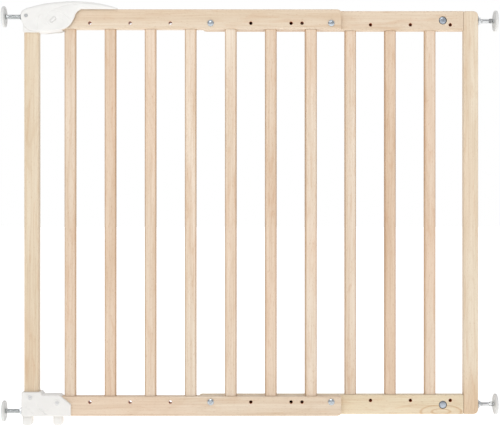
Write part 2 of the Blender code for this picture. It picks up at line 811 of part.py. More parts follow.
pivot_pins = []
for name, start_y, length in (
    ("handle_pivot_front", LATCH_Y - LEVER_HALF_DEPTH - 0.4 * MM, 10.6 * MM),
    ("handle_pivot_rear", LATCH_Y + 6.3 * MM, 10.6 * MM),
):
    start = (PIVOT_X, start_y, PIVOT_Z)
    pivot_pins.append(cylinder(name, start, BACK, length, PIVOT_RADIUS, ZINC))
start = (drive_rest[0], LATCH_Y - LEVER_HALF_DEPTH + MM, drive_rest[1])
length = 2 * (LEVER_HALF_DEPTH - MM)
drive_pin = cylinder("handle_drive_pin", start, BACK, length, DRIVE_RADIUS, ZINC, sides=16)

slider = block(
    "cam_slider",
    (-406 * MM, LATCH_Y - 5.1 * MM, 334.5 * MM),
    (-391 * MM, LATCH_Y + 5.1 * MM, 357.5 * MM),
    GREY,
)
slider_notch = block(
    "slider_notch",
    (drive_rest[0] - drive_clear, LATCH_Y - 8 * MM, 330 * MM),
    (drive_rest[0] + drive_clear, LATCH_Y + 8 * MM, drive_lifted[1] + drive_clear),
)
start = (-410 * MM, LATCH_Y, UPPER_SPINDLE_Z)
slider_bore = cylinder("slider_bore", start, RIGHT, 30 * MM, SPINDLE_RADIUS + GAP)
slider = cut(slider, slider_notch, slider_bore)
start = (-412.8 * MM, LATCH_Y, UPPER_SPINDLE_Z)
collar = cylinder("upper_spindle_collar", start, RIGHT, 5 * MM, 5.2 * MM, ZINC)
start = (-416 * MM, LATCH_Y, UPPER_SPINDLE_Z)
collar = cut(collar, cylinder("collar_bore", start, RIGHT, 12 * MM, SPINDLE_RADIUS + GAP))

# --------------------------------------------------------------------------- bottom corner bracket

BRACKET_HALF_DEPTH = 15.5 * MM
BRACKET_BOTTOM = -362.8 * MM
BRACKET_CORNERS = [
    (-408.7 * MM, BRACKET_BOTTOM, 2.5 * MM),
    (-320.5 * MM, BRACKET_BOTTOM, 1.5 * MM),
    (-320.5 * MM, -341.5 * MM, 2 * MM),
    (-341 * MM, -324.8 * MM, 2 * MM),
    (-371 * MM, -324.8 * MM, 1 * MM),
    (-374.6 * MM, -319.5 * MM, 1.5 * MM),
    (-408.7 * MM, -319.5 * MM, 2.5 * MM),
]
brackets = []
for name, low_y, high_y in (
    ("bracket_front", LATCH_Y - BRACKET_HALF_DEPTH, LATCH_Y - GAP / 2),
    ("bracket_rear", LATCH_Y + GAP / 2, LATCH_Y + BRACKET_HALF_DEPTH),
):
    shell = plate(name, BRACKET_CORNERS, low_y, high_y, WHITE)
    brackets.append(cut(shell, post_envelope, bottom_rail_envelope, lower_bore, screw_bores))


def foot(name, left, right):
    """A stub foot under the corner, with a rounded sole."""
    top = -HALF_HEIGHT - GAP
    corners = [
        (left, top, 0),
        (left, -MID_Z, 6 * MM),
        (right, -MID_Z, 6 * MM),
        (right, top, 0),
    ]
    return soften(plate(name, corners, LATCH_Y - 9 * MM, LATCH_Y + 9 * MM, WHITE), MM, 1)


outer_foot = foot("bracket_foot_outer", -408.5 * MM, -390 * MM)
inner_foot = foot("bracket_foot_inner", -353.4 * MM, -336 * MM)


def pan_head_screw(name, x, z, start_y, head_radius, head, shank_radius, length, finish):
    """A screw from the front. start_y is the underside of its domed head."""
    profile = [(0, 0), (0.7 * head_radius, -0.15 * head), (head_radius, -0.55 * head)]
    profile += [(head_radius, -head), (shank_radius, -head), (shank_radius, -head - length)]
    profile += [(0, -head - length)]
    profile = [(radius, height + head) for radius, height in profile]
    return turned(name, profile, (x, start_y, z), FRONT, finish, 16)


bracket_screws = []
bracket_face = LATCH_Y - BRACKET_HALF_DEPTH
for level, (x, z) in zip(("upper", "lower"), BRACKET_SCREWS):
    name = f"bracket_screw_{level}"
    under = bracket_face - GAP
    radius = BRACKET_SCREW_RADIUS
    screw = pan_head_screw(name, x, z, under, 3.5 * MM, 1.2 * MM, radius, 27 * MM, WHITE)
    bracket_screws.append(screw)

start = (-408.7 * MM - GAP, LATCH_Y, LOWER_SPINDLE_Z)
lower_nut = flange_nut("latch_lock_nut_bottom", start, LEFT, 8 * MM, ZINC)

# ---------------------------------------------------------------------------- adjusting screws

ADJUST_SHANK = 2.6 * MM
adjusting_screws = []
for level, z in (("top", HOLE_Z), ("bottom", -HOLE_Z)):
    for place, n in zip(("outer", "inner"), SCREWED_HOLES):
        under = latch_front - GAP
        name = f"adjusting_screw_{level}_{place}"
        length = hinge_front + BLIND_DEPTH - MM - under
        screw = pan_head_screw(
            name, n * PITCH, z, under, 5.6 * MM, 2.6 * MM, ADJUST_SHANK, length, ZINC
        )
        adjusting_screws.append(screw)

# ------------------------------------------------------------------------------- joints' axes


def carry(name, place, pieces):
    """Hang pieces on an empty that stands on their joint's axis, leaving them where they are."""
    empty = bpy.data.objects.new(name, None)
    PARTS.objects.link(empty)
    empty.empty_display_size = 0.03
    empty.location = Vector(place) + MID_Z * UP
    bpy.context.view_layer.update()
    for piece in pieces:
        piece.parent = empty
        piece.matrix_parent_inverse = empty.matrix_world.inverted()


pivot_x = WALL_X - PIVOT_OFFSET
carry("leaf_swing_axis", (pivot_x, HINGE_Y, 0), hinge_spindles)
hinge_frame = [hinge_post, *hinge_rails, *hinge_slats, *hinge_nuts, *barrels]
carry("hinge_half", (pivot_x, HINGE_Y, 0), hinge_frame)
carry("handle_lift_axis", (PIVOT_X, LATCH_Y, PIVOT_Z), [lever, drive_pin, button_spring])
carry("button_axis", (BUTTON_X, SKIN_OUTER_Y, BUTTON_Z), [button])
carry("cam_slide_axis", (BALL_X, LATCH_Y, UPPER_SPINDLE_Z), [slider, collar])
carry("upper_spindle_axis", (BALL_X, LATCH_Y, UPPER_SPINDLE_Z), [upper_spindle])
carry("lower_spindle_axis", (BALL_X, LATCH_Y, LOWER_SPINDLE_Z), [lower_spindle])
carry("upper_pad_ball", (BALL_X, LATCH_Y, UPPER_SPINDLE_Z), [upper_pad])
carry("lower_pad_ball", (BALL_X, LATCH_Y, LOWER_SPINDLE_Z), [lower_pad])
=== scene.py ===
import json
import math

import bmesh
import bpy
import numpy as np
from mathutils import Matrix, Vector
from mathutils.geometry import delaunay_2d_cdt

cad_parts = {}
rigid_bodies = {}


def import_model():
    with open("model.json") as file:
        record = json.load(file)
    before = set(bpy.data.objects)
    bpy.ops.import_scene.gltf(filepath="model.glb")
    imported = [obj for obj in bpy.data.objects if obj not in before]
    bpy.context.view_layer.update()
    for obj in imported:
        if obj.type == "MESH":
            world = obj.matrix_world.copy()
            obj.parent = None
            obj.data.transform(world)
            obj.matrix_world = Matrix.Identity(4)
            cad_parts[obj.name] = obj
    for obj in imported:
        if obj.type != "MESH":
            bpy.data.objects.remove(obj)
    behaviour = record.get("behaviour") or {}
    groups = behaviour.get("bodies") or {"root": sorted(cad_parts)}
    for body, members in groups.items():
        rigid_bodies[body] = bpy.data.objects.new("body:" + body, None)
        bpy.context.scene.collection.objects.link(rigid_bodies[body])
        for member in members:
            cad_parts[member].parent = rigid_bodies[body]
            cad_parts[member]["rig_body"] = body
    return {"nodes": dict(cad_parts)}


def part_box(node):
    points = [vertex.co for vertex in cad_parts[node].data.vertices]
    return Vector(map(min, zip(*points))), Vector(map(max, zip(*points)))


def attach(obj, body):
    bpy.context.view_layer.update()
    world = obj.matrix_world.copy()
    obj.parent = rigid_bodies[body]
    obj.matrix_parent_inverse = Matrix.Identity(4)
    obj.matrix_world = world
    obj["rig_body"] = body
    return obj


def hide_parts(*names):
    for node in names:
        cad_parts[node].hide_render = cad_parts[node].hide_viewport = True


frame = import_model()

MM = 0.001
GAP = 0.3 * MM  # air between two pieces that touch
FRONT = Vector((0, -1, 0))
BACK = Vector((0, 1, 0))
RIGHT = Vector((1, 0, 0))
LEFT = Vector((-1, 0, 0))
UP = Vector((0, 0, 1))

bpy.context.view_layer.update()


def box_of(name):
    """A node's lowest corner, its highest corner and its middle."""
    low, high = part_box(name)
    return low, high, (low + high) / 2


_, LATCH_Y, MID_Z = box_of("latch_post")[2]
HINGE_Y = box_of("hinge_post")[2].y

# ---- materials


def rgb(red, green, blue):
    """A colour given as a screen shows it, 0 to 255, as the linear colour that a shader takes."""
    linear = []
    for value in (red, green, blue):
        value /= 255
        linear.append(value / 12.92 if value <= 0.04045 else ((value + 0.055) / 1.055) ** 2.4)
    return Vector(linear)


def new_material(name):
    """A material, its node tree and its Principled shader."""
    made = bpy.data.materials.new(name)
    made.use_nodes = True
    tree = made.node_tree
    return made, tree, tree.nodes["Principled BSDF"]


def node(tree, kind, inputs=None, **settings):
    """A shader node with its settings, whose inputs are values or other nodes' sockets."""
    made = tree.nodes.new(kind)
    for key, value in settings.items():
        setattr(made, key, value)
    for key, value in (inputs or {}).items():
        if isinstance(value, bpy.types.NodeSocket):
            tree.links.new(value, made.inputs[key])
        else:
            made.inputs[key].default_value = value
    return made


def calc(tree, operation, first, second=0.0, third=0.0, clamp=False):
    """A Math node's result."""
    values = {0: first, 1: second, 2: third}
    return node(tree, "ShaderNodeMath", values, operation=operation, use_clamp=clamp).outputs[0]


def mixed(tree, factor, first, second, blend="MIX"):
    """One colour mixed with another."""
    made = node(tree, "ShaderNodeMix", data_type="RGBA", blend_type=blend)
    for key, value in ((0, factor), (6, first), (7, second)):
        if isinstance(value, bpy.types.NodeSocket):
            tree.links.new(value, made.inputs[key])
        else:
            made.inputs[key].default_value = value if key == 0 else (*value, 1)
    return made.outputs[2]


def tinted(tree, shade, amount, tint):
    """The shade, multiplied by a tint where the amount is 1 and unchanged where it is 0."""
    return mixed(tree, amount, shade, mixed(tree, 1.0, shade, tint, "MULTIPLY"))


def noise(tree, place, scale, detail=2.0, roughness=0.5, distortion=0.0):
    """Noise stretched by a scale along each axis. place is a socket with coordinates."""
    stretched = node(tree, "ShaderNodeMapping", {"Vector": place, "Scale": scale})
    inputs = {"Vector": stretched.outputs[0], "Scale": 1.0, "Detail": detail}
    inputs |= {"Roughness": roughness, "Distortion": distortion}
    return node(tree, "ShaderNodeTexNoise", inputs).outputs["Fac"]


def between(tree, value, low, high):
    """A value's place between two limits, from 0 to 1, with soft ends."""
    inputs = {"Value": value, "From Min": low, "From Max": high}
    made = node(tree, "ShaderNodeMapRange", inputs, interpolation_type="SMOOTHSTEP")
    return made.outputs["Result"]


def coordinates(tree, shift=(0, 0, 0)):
    """Places on the piece, in metres, moved so that no two pieces share their grain."""
    start = node(tree, "ShaderNodeTexCoord").outputs["Object"]
    return node(tree, "ShaderNodeMapping", {"Vector": start, "Location": shift}).outputs[0]


def parts(tree, vector):
    """The X, Y and Z of a vector."""
    return node(tree, "ShaderNodeSeparateXYZ", {0: vector}).outputs


def squared(tree, value, start, unit=1.0):
    """The square of how far a value is from a start, counted in a unit."""
    away = calc(tree, "SUBTRACT", value, start)
    return calc(tree, "POWER", calc(tree, "DIVIDE", away, unit), 2)


def from_mid_height(tree, z):
    """How far a height is from the middle of the frame, up or down."""
    return calc(tree, "ABSOLUTE", calc(tree, "SUBTRACT", z, MID_Z))


def hypot(tree, rise, along):
    """The distance whose two squares are given."""
    return calc(tree, "SQRT", calc(tree, "ADD", rise, along))


def bump(tree, height, strength, distance):
    """The normals of a skin whose height, from 0 to 1, is counted in a distance."""
    inputs = {"Height": height, "Strength": strength, "Distance": distance}
    return node(tree, "ShaderNodeBump", inputs).outputs["Normal"]


def dress(tree, shader, colour, roughness, normal):
    for key, socket in (("Base Color", colour), ("Roughness", roughness), ("Normal", normal)):
        tree.links.new(socket, shader.inputs[key])


PITCH = 71.8 * MM  # between slats, and between adjusting holes
HOLE_Z = 338 * MM
HOLE_RADIUS = 3.05 * MM
HOLE_MARGIN = 0.12 * MM  # past the radius, so that the holes' faceted walls are all inside
FIRST_HOLE, LAST_HOLE = -4, 5  # counted in pitches from the middle
SPARE_HOLE_X = 91.3 * MM
HOLE_END_Y = 16 * MM  # behind the blind holes' bottoms and in front of the hinge rails' back
BARREL_X, BARREL_Z = 345.7 * MM, 346 * MM
BARREL_SHADE_EDGE = (5.2 * MM, 6.1 * MM)  # where the painted shade round a barrel nut's face starts, and is full
KNOT_X, KNOT_Z = 342 * MM, -358 * MM
KNOT_LENGTH, KNOT_HEIGHT = 31 * MM, 9 * MM
KNOT_RINGS = (0.80, 1.45)  # in shares of the knot's length and height
RING_WIDTH = 0.14


def barrel_rim_shade(tree):
    """Painted shade for the gap round the barrel nuts' faces: 1 round their edge and 0 elsewhere."""
    x, _, z = parts(tree, coordinates(tree))
    rise = squared(tree, from_mid_height(tree, z), BARREL_Z)
    return between(tree, hypot(tree, rise, squared(tree, x, BARREL_X)), *BARREL_SHADE_EDGE)


# what the marks and figures of the timber multiply its colour by, with the painted shade of slat
# sides and of holes
PINK_TINT = (1.0, 0.958, 0.935)
FLAME_TINT = (0.90, 0.79, 0.70)
FLECK_TINT = (0.72, 0.58, 0.45)
KNOT_TINT = (0.80, 0.64, 0.50)
HEART_TINT = (0.90, 0.79, 0.69)
# painted shade for the slats' rounded sides
EDGE_SHADE_TINT = (0.74, 0.62, 0.50)
# painted shade inside the rails' holes
HOLE_SHADE_COLOUR = rgb(200, 130, 88)
HEARTWOOD = (60 * MM, 170 * MM)  # heights where it starts to end, and has ended


def knotted(tree, shade, bands):
    """The shade with the brown growth rings that pass round a knot in the hinge bottom rail."""
    x, _, z = parts(tree, coordinates(tree))
    along = squared(tree, x, KNOT_X, KNOT_LENGTH)
    rise = squared(tree, z, MID_Z + KNOT_Z, KNOT_HEIGHT)
    out = calc(tree, "MULTIPLY_ADD", bands, 0.5, hypot(tree, along, rise))
    brown = mixed(tree, 1.0, shade, KNOT_TINT, "MULTIPLY")
    for ring in KNOT_RINGS:
        away = calc(tree, "ABSOLUTE", calc(tree, "SUBTRACT", out, ring))
        line = calc(tree, "MULTIPLY", between(tree, away, RING_WIDTH, 0.0), 0.75)
        shade = mixed(tree, line, shade, brown)
    return shade


def hearted(tree, shade, bands):
    """The shade with heartwood, which is browner, below the common timber."""
    wavy = calc(tree, "MULTIPLY_ADD", bands, 60 * MM, parts(tree, coordinates(tree))["Z"])
    brown = calc(tree, "MULTIPLY", between(tree, wavy, HEARTWOOD[1], HEARTWOOD[0]), 0.85)
    return tinted(tree, shade, brown, HEART_TINT)


def painted_edge_shade(tree, shade, bands):
    """The shade of turned stock with painted shade: browner along its rounded sides, which turn away
    from the front.
    """
    facing = parts(tree, node(tree, "ShaderNodeNewGeometry").outputs["Normal"])["Y"]
    side = between(tree, calc(tree, "ABSOLUTE", facing), 0.99, 0.60)
    return tinted(tree, shade, calc(tree, "MULTIPLY", side, 0.9), EDGE_SHADE_TINT)


def shaded_holes(tree, shade, bands, spare=False):
    """The shade with painted shade, darker and redder, on the walls of a rail's holes. Spare tells if
    it has the odd hole.
    """
    x, y, z = parts(tree, coordinates(tree))
    rise = squared(tree, from_mid_height(tree, z), HOLE_Z)
    number = calc(tree, "ROUND", calc(tree, "DIVIDE", x, PITCH))
    number = calc(tree, "MAXIMUM", calc(tree, "MINIMUM", number, LAST_HOLE), FIRST_HOLE)
    along = squared(tree, x, calc(tree, "MULTIPLY", number, PITCH))
    if spare:
        along = calc(tree, "MINIMUM", along, squared(tree, x, SPARE_HOLE_X))
    near = calc(tree, "LESS_THAN", hypot(tree, rise, along), HOLE_RADIUS + HOLE_MARGIN)
    inside = calc(tree, "MULTIPLY", near, calc(tree, "LESS_THAN", y, HOLE_END_Y))
    return mixed(tree, inside, shade, HOLE_SHADE_COLOUR)


# painted shade in a rail's holes, the odd spare hole among them
def shaded_holes_with_spare(tree, shade, bands):
    return shaded_holes(tree, shade, bands, spare=True)


def figured(tree, place, colour, stretch):
    """Beech's colour with its figure, and the streaks and bands that make it. stretch turns
    what a noise repeats in a metre, across and along the fibres, to a scale for each axis."""
    streaks = noise(tree, place, stretch(420, 7), detail=4, roughness=0.65)
    bands = noise(tree, place, stretch(46, 2.6), detail=2, distortion=0.6)
    patches = noise(tree, place, stretch(14, 3.4), detail=1)
    field = noise(tree, place, stretch(30, 2.2), detail=1, distortion=0.3)
    arches = calc(tree, "SINE", calc(tree, "MULTIPLY", field, 95))
    flames = noise(tree, place, stretch(85, 12), detail=3, distortion=1.3)
    flecks = noise(tree, place, stretch(1150, 190), detail=1)

    dark = Vector((colour.x * 0.87, colour.y * 0.80, colour.z * 0.72))
    light = Vector((colour.x * 1.07, colour.y * 1.10, colour.z * 1.13))
    level = calc(tree, "MULTIPLY_ADD", between(tree, streaks, 0.30, 0.70), 0.46, 0.14)
    level = calc(tree, "MULTIPLY_ADD", between(tree, bands, 0.32, 0.68), 0.40, level)
    level = calc(tree, "MULTIPLY_ADD", between(tree, arches, 0.35, 1.0), -0.15, level, clamp=True)
    shade = mixed(tree, level, dark, light)
    shade = tinted(tree, shade, between(tree, patches, 0.42, 0.70), PINK_TINT)
    flame = calc(tree, "MULTIPLY", between(tree, flames, 0.52, 0.72), 0.55)
    shade = tinted(tree, shade, flame, FLAME_TINT)
    fleck = calc(tree, "MULTIPLY", between(tree, flecks, 0.62, 0.72), 0.45)
    return tinted(tree, shade, fleck, FLECK_TINT), streaks, bands


def wood(name, colour, grain, seed, marks):
    """Satin beech. grain is X or Z, the way its fibres run. marks are functions that add to its
    shade what it has besides grain, painted shade on slat sides and in holes among them."""
    made, tree, shader = new_material(name)
    place = coordinates(tree, (seed * 1.7, seed * 0.9, seed * 2.3))

    def stretch(across, along):
        return (along, across, across) if grain == "X" else (across, across, along)

    shade, streaks, bands = figured(tree, place, colour, stretch)
    for mark in marks:
        shade = mark(tree, shade, bands)
    rough = calc(tree, "MULTIPLY_ADD", streaks, 0.16, 0.42)
    dress(tree, shader, shade, rough, bump(tree, streaks, 0.35, 0.12 * MM))
    shader.inputs["Specular IOR Level"].default_value = 0.3
    return made


def plastic(name, colour, roughness, mottle=0.02):
    """Moulded plastic with a fine spark-eroded skin and faint flow marks."""
    made, tree, shader = new_material(name)
    place = coordinates(tree)
    flow = noise(tree, place, (34, 34, 34), detail=2, distortion=0.8)
    skin = noise(tree, place, (2100, 2100, 2100), detail=1)
    paler = Vector([min(1.0, value * (1 + mottle)) for value in colour])
    shade = mixed(tree, between(tree, flow, 0.3, 0.7), colour * (1 - mottle), paler)
    rough = calc(tree, "MULTIPLY_ADD", flow, 0.14, roughness - 0.07)
    dress(tree, shader, shade, rough, bump(tree, skin, 0.12, 0.05 * MM))
    shader.inputs["Specular IOR Level"].default_value = 0.42
    return made


def metal(name, colour, roughness, brushed=0.10, edge=None):
    """Plated steel with faint cloudy plating and tooling marks, and painted shade where edge says so.
    """
    made, tree, shader = new_material(name)
    place = coordinates(tree)
    cloud = noise(tree, place, (210, 210, 210), detail=3)
    tooling = noise(tree, place, (5200, 900, 900), detail=2)
    shade = mixed(tree, between(tree, cloud, 0.3, 0.7), colour * 0.90, colour * 1.06)
    if edge is not None:
        shade = mixed(tree, edge(tree), shade, colour * 0.32)
    rough = calc(tree, "MULTIPLY_ADD", cloud, brushed, roughness)
    dress(tree, shader, shade, rough, bump(tree, tooling, 0.10, 0.03 * MM))
    shader.inputs["Metallic"].default_value = 1.0
    return made


WHITE = plastic("moulded_white", rgb(234, 233, 229), 0.36)
SCREW_WHITE = plastic("coated_screw", rgb(220, 220, 219), 0.40)
PAD = plastic("moulded_pad", rgb(221, 221, 218), 0.42)
NYLON = plastic("grey_nylon", rgb(150, 151, 150), 0.45)
ZINC = metal("bright_zinc", Vector((0.64, 0.66, 0.67)), 0.20)
CHROME = metal("bright_rod", Vector((0.64, 0.65, 0.65)), 0.11, 0.06)
GREY_ROD = metal("grey_rod", Vector((0.52, 0.54, 0.54)), 0.12, 0.06)
SCREW_ZINC = metal("screw_zinc", Vector((0.49, 0.54, 0.58)), 0.24)
# the barrel nuts' faces carry a painted shade round their rim
BLUE_ZINC = metal("blue_zinc", Vector((0.46, 0.51, 0.57)), 0.24, edge=barrel_rim_shade)
DULL_ZINC = metal("dull_zinc", Vector((0.52, 0.53, 0.53)), 0.55)
# near-black steel, which also stands in for painted shade in the lever's opening round the collar
DARK_STEEL_AND_SHADE = metal("dark_steel_and_painted_shade", Vector((0.17, 0.19, 0.21)), 0.34)
SPRING = metal("spring_steel", Vector((0.44, 0.45, 0.47)), 0.30)


def finish_node(name, material):
    """Give a CAD node that keeps its shape its material."""
    mesh = frame["nodes"][name].data
    mesh.materials.clear()
    mesh.materials.append(material)


# ---- timber

WOOD_LENGTHS = {
    # node: (colour, grain, marks)
    "latch_post": (rgb(225, 209, 184), "Z", ()),
    "hinge_post": (rgb(229, 214, 191), "Z", (hearted,)),
    "latch_top_rail": (rgb(225, 208, 185), "X", (shaded_holes_with_spare,)),
    "hinge_top_rail": (rgb(222, 203, 179), "X", (shaded_holes,)),
    "latch_bottom_rail": (rgb(225, 208, 186), "X", (shaded_holes_with_spare,)),
    "hinge_bottom_rail": (rgb(231, 218, 191), "X", (knotted, shaded_holes)),
}
SLAT_COLOUR = rgb(228, 210, 189)
# how pale each slat's timber is, left to right on each half: 0 is the common tone, and less is
# also redder
SLAT_TONES = {
    "latch": (0.0, -0.042, 0.0, 0.04, 0.033, -0.024, 0.02),
    "hinge": (0.0, 0.02, 0.03, 0.016, -0.06, -0.02),
}
SLAT_SEEDS = {"latch": 20, "hinge": 40}


def finish_timber():
    for seed, (name, (colour, grain, marks)) in enumerate(WOOD_LENGTHS.items(), start=1):
        finish_node(name, wood(f"beech_{name}", colour, grain, seed, marks))
    for half, tones in SLAT_TONES.items():
        for count, tone in enumerate(tones, start=1):
            name = f"{half}_slat_{count}"
            warmth = Vector((1 + tone, 1 + 2.1 * tone, 1 + 3 * tone))
            seed = SLAT_SEEDS[half] + count
            # each slat gets painted shade along its rounded sides
            made = wood(f"beech_{name}", SLAT_COLOUR * warmth, "Z", seed, (painted_edge_shade,))
            finish_node(name, made)


finish_timber()

# ---- mesh tools


def towards(place, axis):
    """The matrix that stands a shape made along Z on a place, turned to run along the axis."""
    turn = UP.rotation_difference(axis).to_matrix().to_4x4()
    return Matrix.Translation(place) @ turn


def at(x, y, z):
    """A place whose height is given from the middle of the frame."""
    return Vector((x, y, MID_Z + z))


def radial(rows, place, axis, sides=48, hollow=False):
    """A solid of rings around an axis. A row is a height and a radius, which may be a function
    of the angle. A hollow solid's last row joins its first; otherwise it starts and ends on a cap."""
    bm = bmesh.new()
    stand = towards(place, axis)
    rings = []
    for height, radius in rows:
        ring = []
        for side in range(sides):
            angle = math.tau * side / sides
            reach = radius(angle) if callable(radius) else radius
            point = Vector((reach * math.cos(angle), reach * math.sin(angle), height))
            ring.append(bm.verts.new(stand @ point))
        rings.append(ring)
    pairs = list(zip(rings, rings[1:]))
    if hollow:
        pairs.append((rings[-1], rings[0]))
    for lower, upper in pairs:
        for side in range(sides):
            after = (side + 1) % sides
            bm.faces.new((lower[side], lower[after], upper[after], upper[side]))
    if not hollow:
        bm.faces.new(rings[0][::-1])
        bm.faces.new(rings[-1])
    bmesh.ops.recalc_face_normals(bm, faces=bm.faces)
    return bm


def mesh_of(bm, name):
    mesh = bpy.data.meshes.new(name)
    bm.to_mesh(mesh)
    bm.free()
    return mesh


def smooth(mesh, degrees):
    mesh.shade_smooth()
    mesh.set_sharp_from_angle(angle=math.radians(degrees))


def loose(name, mesh):
    """An object that isn't a piece yet, such as a body that is still to be cut."""
    made = bpy.data.objects.new(name, mesh)
    bpy.context.scene.collection.objects.link(made)
    return made


def bar(name, start, axis, length, radius, sides=40):
    """A plain round bar from a place, as a cutter or a lug."""
    rows = [(0.0, radius), (length, radius)]
    return loose(name, mesh_of(radial(rows, start, axis, sides), name))


def block(low, high, name, turn=None):
    """A box between two corners, whose heights are from the frame's middle, turned about its own
    middle."""
    bm = bmesh.new()
    bmesh.ops.create_cube(bm, size=1)
    size = Vector(high) - Vector(low)
    centre = (Vector(high) + Vector(low)) / 2 + MID_Z * UP
    bmesh.ops.transform(bm, matrix=Matrix.Diagonal((*size, 1)), verts=bm.verts)
    if turn is not None:
        bmesh.ops.transform(bm, matrix=turn, verts=bm.verts)
    bmesh.ops.translate(bm, vec=centre, verts=bm.verts)
    return loose(name, mesh_of(bm, name))


def combined(body, others, operation="DIFFERENCE"):
    """The body's mesh after cutting away, or adding, each of the others, which are used up."""
    for other in others:
        modifier = body.modifiers.new(other.name, "BOOLEAN")
        modifier.operation = operation
        modifier.object = other
        modifier.solver = "EXACT"
    bpy.context.view_layer.update()
    mesh = bpy.data.meshes.new_from_object(
        body.evaluated_get(bpy.context.evaluated_depsgraph_get())
    )
    for used in (*others, body):
        bpy.data.objects.remove(used)
    return mesh


def piece(mesh, material, slot, *nodes, degrees=32):
    """A detailed piece that stands for one CAD node or more and rides on their body."""
    mesh.materials.clear()
    mesh.materials.append(material)
    smooth(mesh, degrees)
    made = loose(f"{nodes[0]}_detailed", mesh)
    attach(made, frame["nodes"][nodes[0]]["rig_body"])
    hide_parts(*nodes)


def arc(centre, radius, start, end, steps):
    """(height, radius) rows round a quarter turn or so, for the rim of a turned piece."""
    rows = []
    for step in range(steps + 1):
        angle = math.radians(start + (end - start) * step / steps)
        rows.append((centre[0] + radius * math.sin(angle), centre[1] + radius * math.cos(angle)))
    return rows


# ---- hardware

SPINDLE_RADIUS = 4 * MM
THREAD_PITCH = 1.25 * MM
THREAD_DEPTH = 0.45 * MM
CREST = 0.6  # share of the pitch that stays at full diameter, as on a rolled thread
BORE_RADIUS = SPINDLE_RADIUS + GAP
NUT_ACROSS = 12 * MM
EYE_RADIUS = 3.4 * MM  # of the hinge rods' flattened ends
PIN_HOLE_RADIUS = 1.8 * MM


def thread_rows(start, end):
    """Rows of a helical thread between two heights: each row's radius depends on the angle."""

    def row(height):
        def radius(angle):
            phase = (height / THREAD_PITCH - angle / math.tau) % 1
            share = min(max((abs(2 * phase - 1) - CREST) / (0.9 - CREST), 0.0), 1.0)
            return SPINDLE_RADIUS - THREAD_DEPTH * share

        return radius

    count = round((end - start) / THREAD_PITCH * 5)
    heights = [start + (end - start) * n / count for n in range(count + 1)]
    return [(height, row(height)) for height in heights]


def threaded(length):
    """Rows of a rod's thread, from its chamfered end."""
    rows = [(0.0, SPINDLE_RADIUS - 0.9 * MM), (0.5 * MM, SPINDLE_RADIUS - THREAD_DEPTH)]
    return rows + thread_rows(0.6 * MM, length)


def hexagon(across, corner=1.0):
    """The radius of a hexagon's outline by angle, with its corners turned down to a share."""
    flat = across / 2
    limit = corner * across / math.sqrt(3)

    def radius(angle):
        from_flat = (angle + math.pi / 6) % (math.pi / 3) - math.pi / 6
        return min(flat / math.cos(from_flat), limit)

    return radius


def lock_nut(name, flange_radius, axis):
    """A flanged hexagon nut, whose flange lies at the timber or plastic."""
    low, high, centre = box_of(name)
    start = low.x if axis is RIGHT else high.x
    length, flange = high.x - low.x, 1.6 * MM
    rows = [
        (0.0, BORE_RADIUS),
        (0.0, flange_radius - 0.25 * MM),
        (0.25 * MM, flange_radius),
        (flange - 0.5 * MM, flange_radius),
        (flange, flange_radius - 1.3 * MM),
        (flange + 0.02 * MM, hexagon(NUT_ACROSS)),
        (length - 0.9 * MM, hexagon(NUT_ACROSS)),
        (length - 0.45 * MM, hexagon(NUT_ACROSS, 0.945)),
        (length, hexagon(NUT_ACROSS, 0.875)),
        (length, BORE_RADIUS + 0.5 * MM),
        (length - 0.5 * MM, BORE_RADIUS),
    ]
    bm = radial(rows, Vector((start, centre.y, centre.z)), axis, sides=72, hollow=True)
    piece(mesh_of(bm, name), ZINC, "zinc", name)


def cross_recess(x, front_y, z, arm, width, depth, turn_degrees):
    """Cutters for a cross recess in a screw's head, whose arms are turned by an angle."""
    made = []
    for extra in (0, 90):
        turn = Matrix.Rotation(math.radians(turn_degrees + extra), 4, "Y")
        low = Vector((x - arm, front_y - MM, z - width / 2))
        high = Vector((x + arm, front_y + depth, z + width / 2))
        made.append(block(low, high, "recess_arm", turn))
    return made


def dome_screw(name, head_radius, head, shank_radius, turn_degrees, material, slot):
    """A cross-recessed screw seen from the front: a domed head on a threaded shank."""
    low, high, centre = box_of(name)
    length = high.y - low.y
    rim = 0.4 * head
    rows = []
    for step in range(9):
        share = step / 9
        rows.append((length - (head - rim) * (share ** 2.2), head_radius * max(share, 0.02)))
    rows += [(length - head + rim, head_radius), (length - head + 0.15 * MM, head_radius)]
    rows += [(length - head, head_radius - 0.15 * MM), (length - head, shank_radius)]
    rows += [(0.4 * MM, shank_radius), (0.0, shank_radius - 0.4 * MM)]
    bm = radial(rows, Vector((centre.x, high.y, centre.z)), FRONT, sides=56)
    body = loose(name + "_body", mesh_of(bm, name))
    arm, width = 0.50 * head_radius, 0.24 * head_radius
    z = centre.z - MID_Z
    cutters = cross_recess(centre.x, low.y, z, arm, width, 0.62 * head, turn_degrees)
    piece(combined(body, cutters), material, slot, name)


def barrel_nut(name, turn_degrees):
    """A cross dowel in the rail's end: a chamfered steel barrel with a slot in its face."""
    low, high, centre = box_of(name)
    length, radius, edge = high.y - low.y, (high.x - low.x) / 2, 0.9 * MM
    rows = [
        (0.0, radius - edge),
        (edge * 0.4, radius - edge * 0.25),
        (edge, radius),
        (length - edge, radius),
        (length - edge * 0.4, radius - edge * 0.25),
        (length, radius - edge),
    ]
    bm = radial(rows, Vector((centre.x, high.y, centre.z)), FRONT, sides=64)
    body = loose(name + "_body", mesh_of(bm, name))
    z = centre.z - MID_Z
    turn = Matrix.Rotation(math.radians(turn_degrees), 4, "Y")
    slot_low = Vector((centre.x - 2 * radius, low.y - MM, z - 0.75 * MM))
    slot_high = Vector((centre.x + 2 * radius, low.y + 0.9 * MM, z + 0.75 * MM))
    slot = block(slot_low, slot_high, "screwdriver_slot", turn)
    start = Vector((centre.x - 11 * MM, HINGE_Y, centre.z))
    bore = bar("bore", start, RIGHT, 22 * MM, BORE_RADIUS)
    piece(combined(body, [slot, bore]), BLUE_ZINC, "zinc", name)


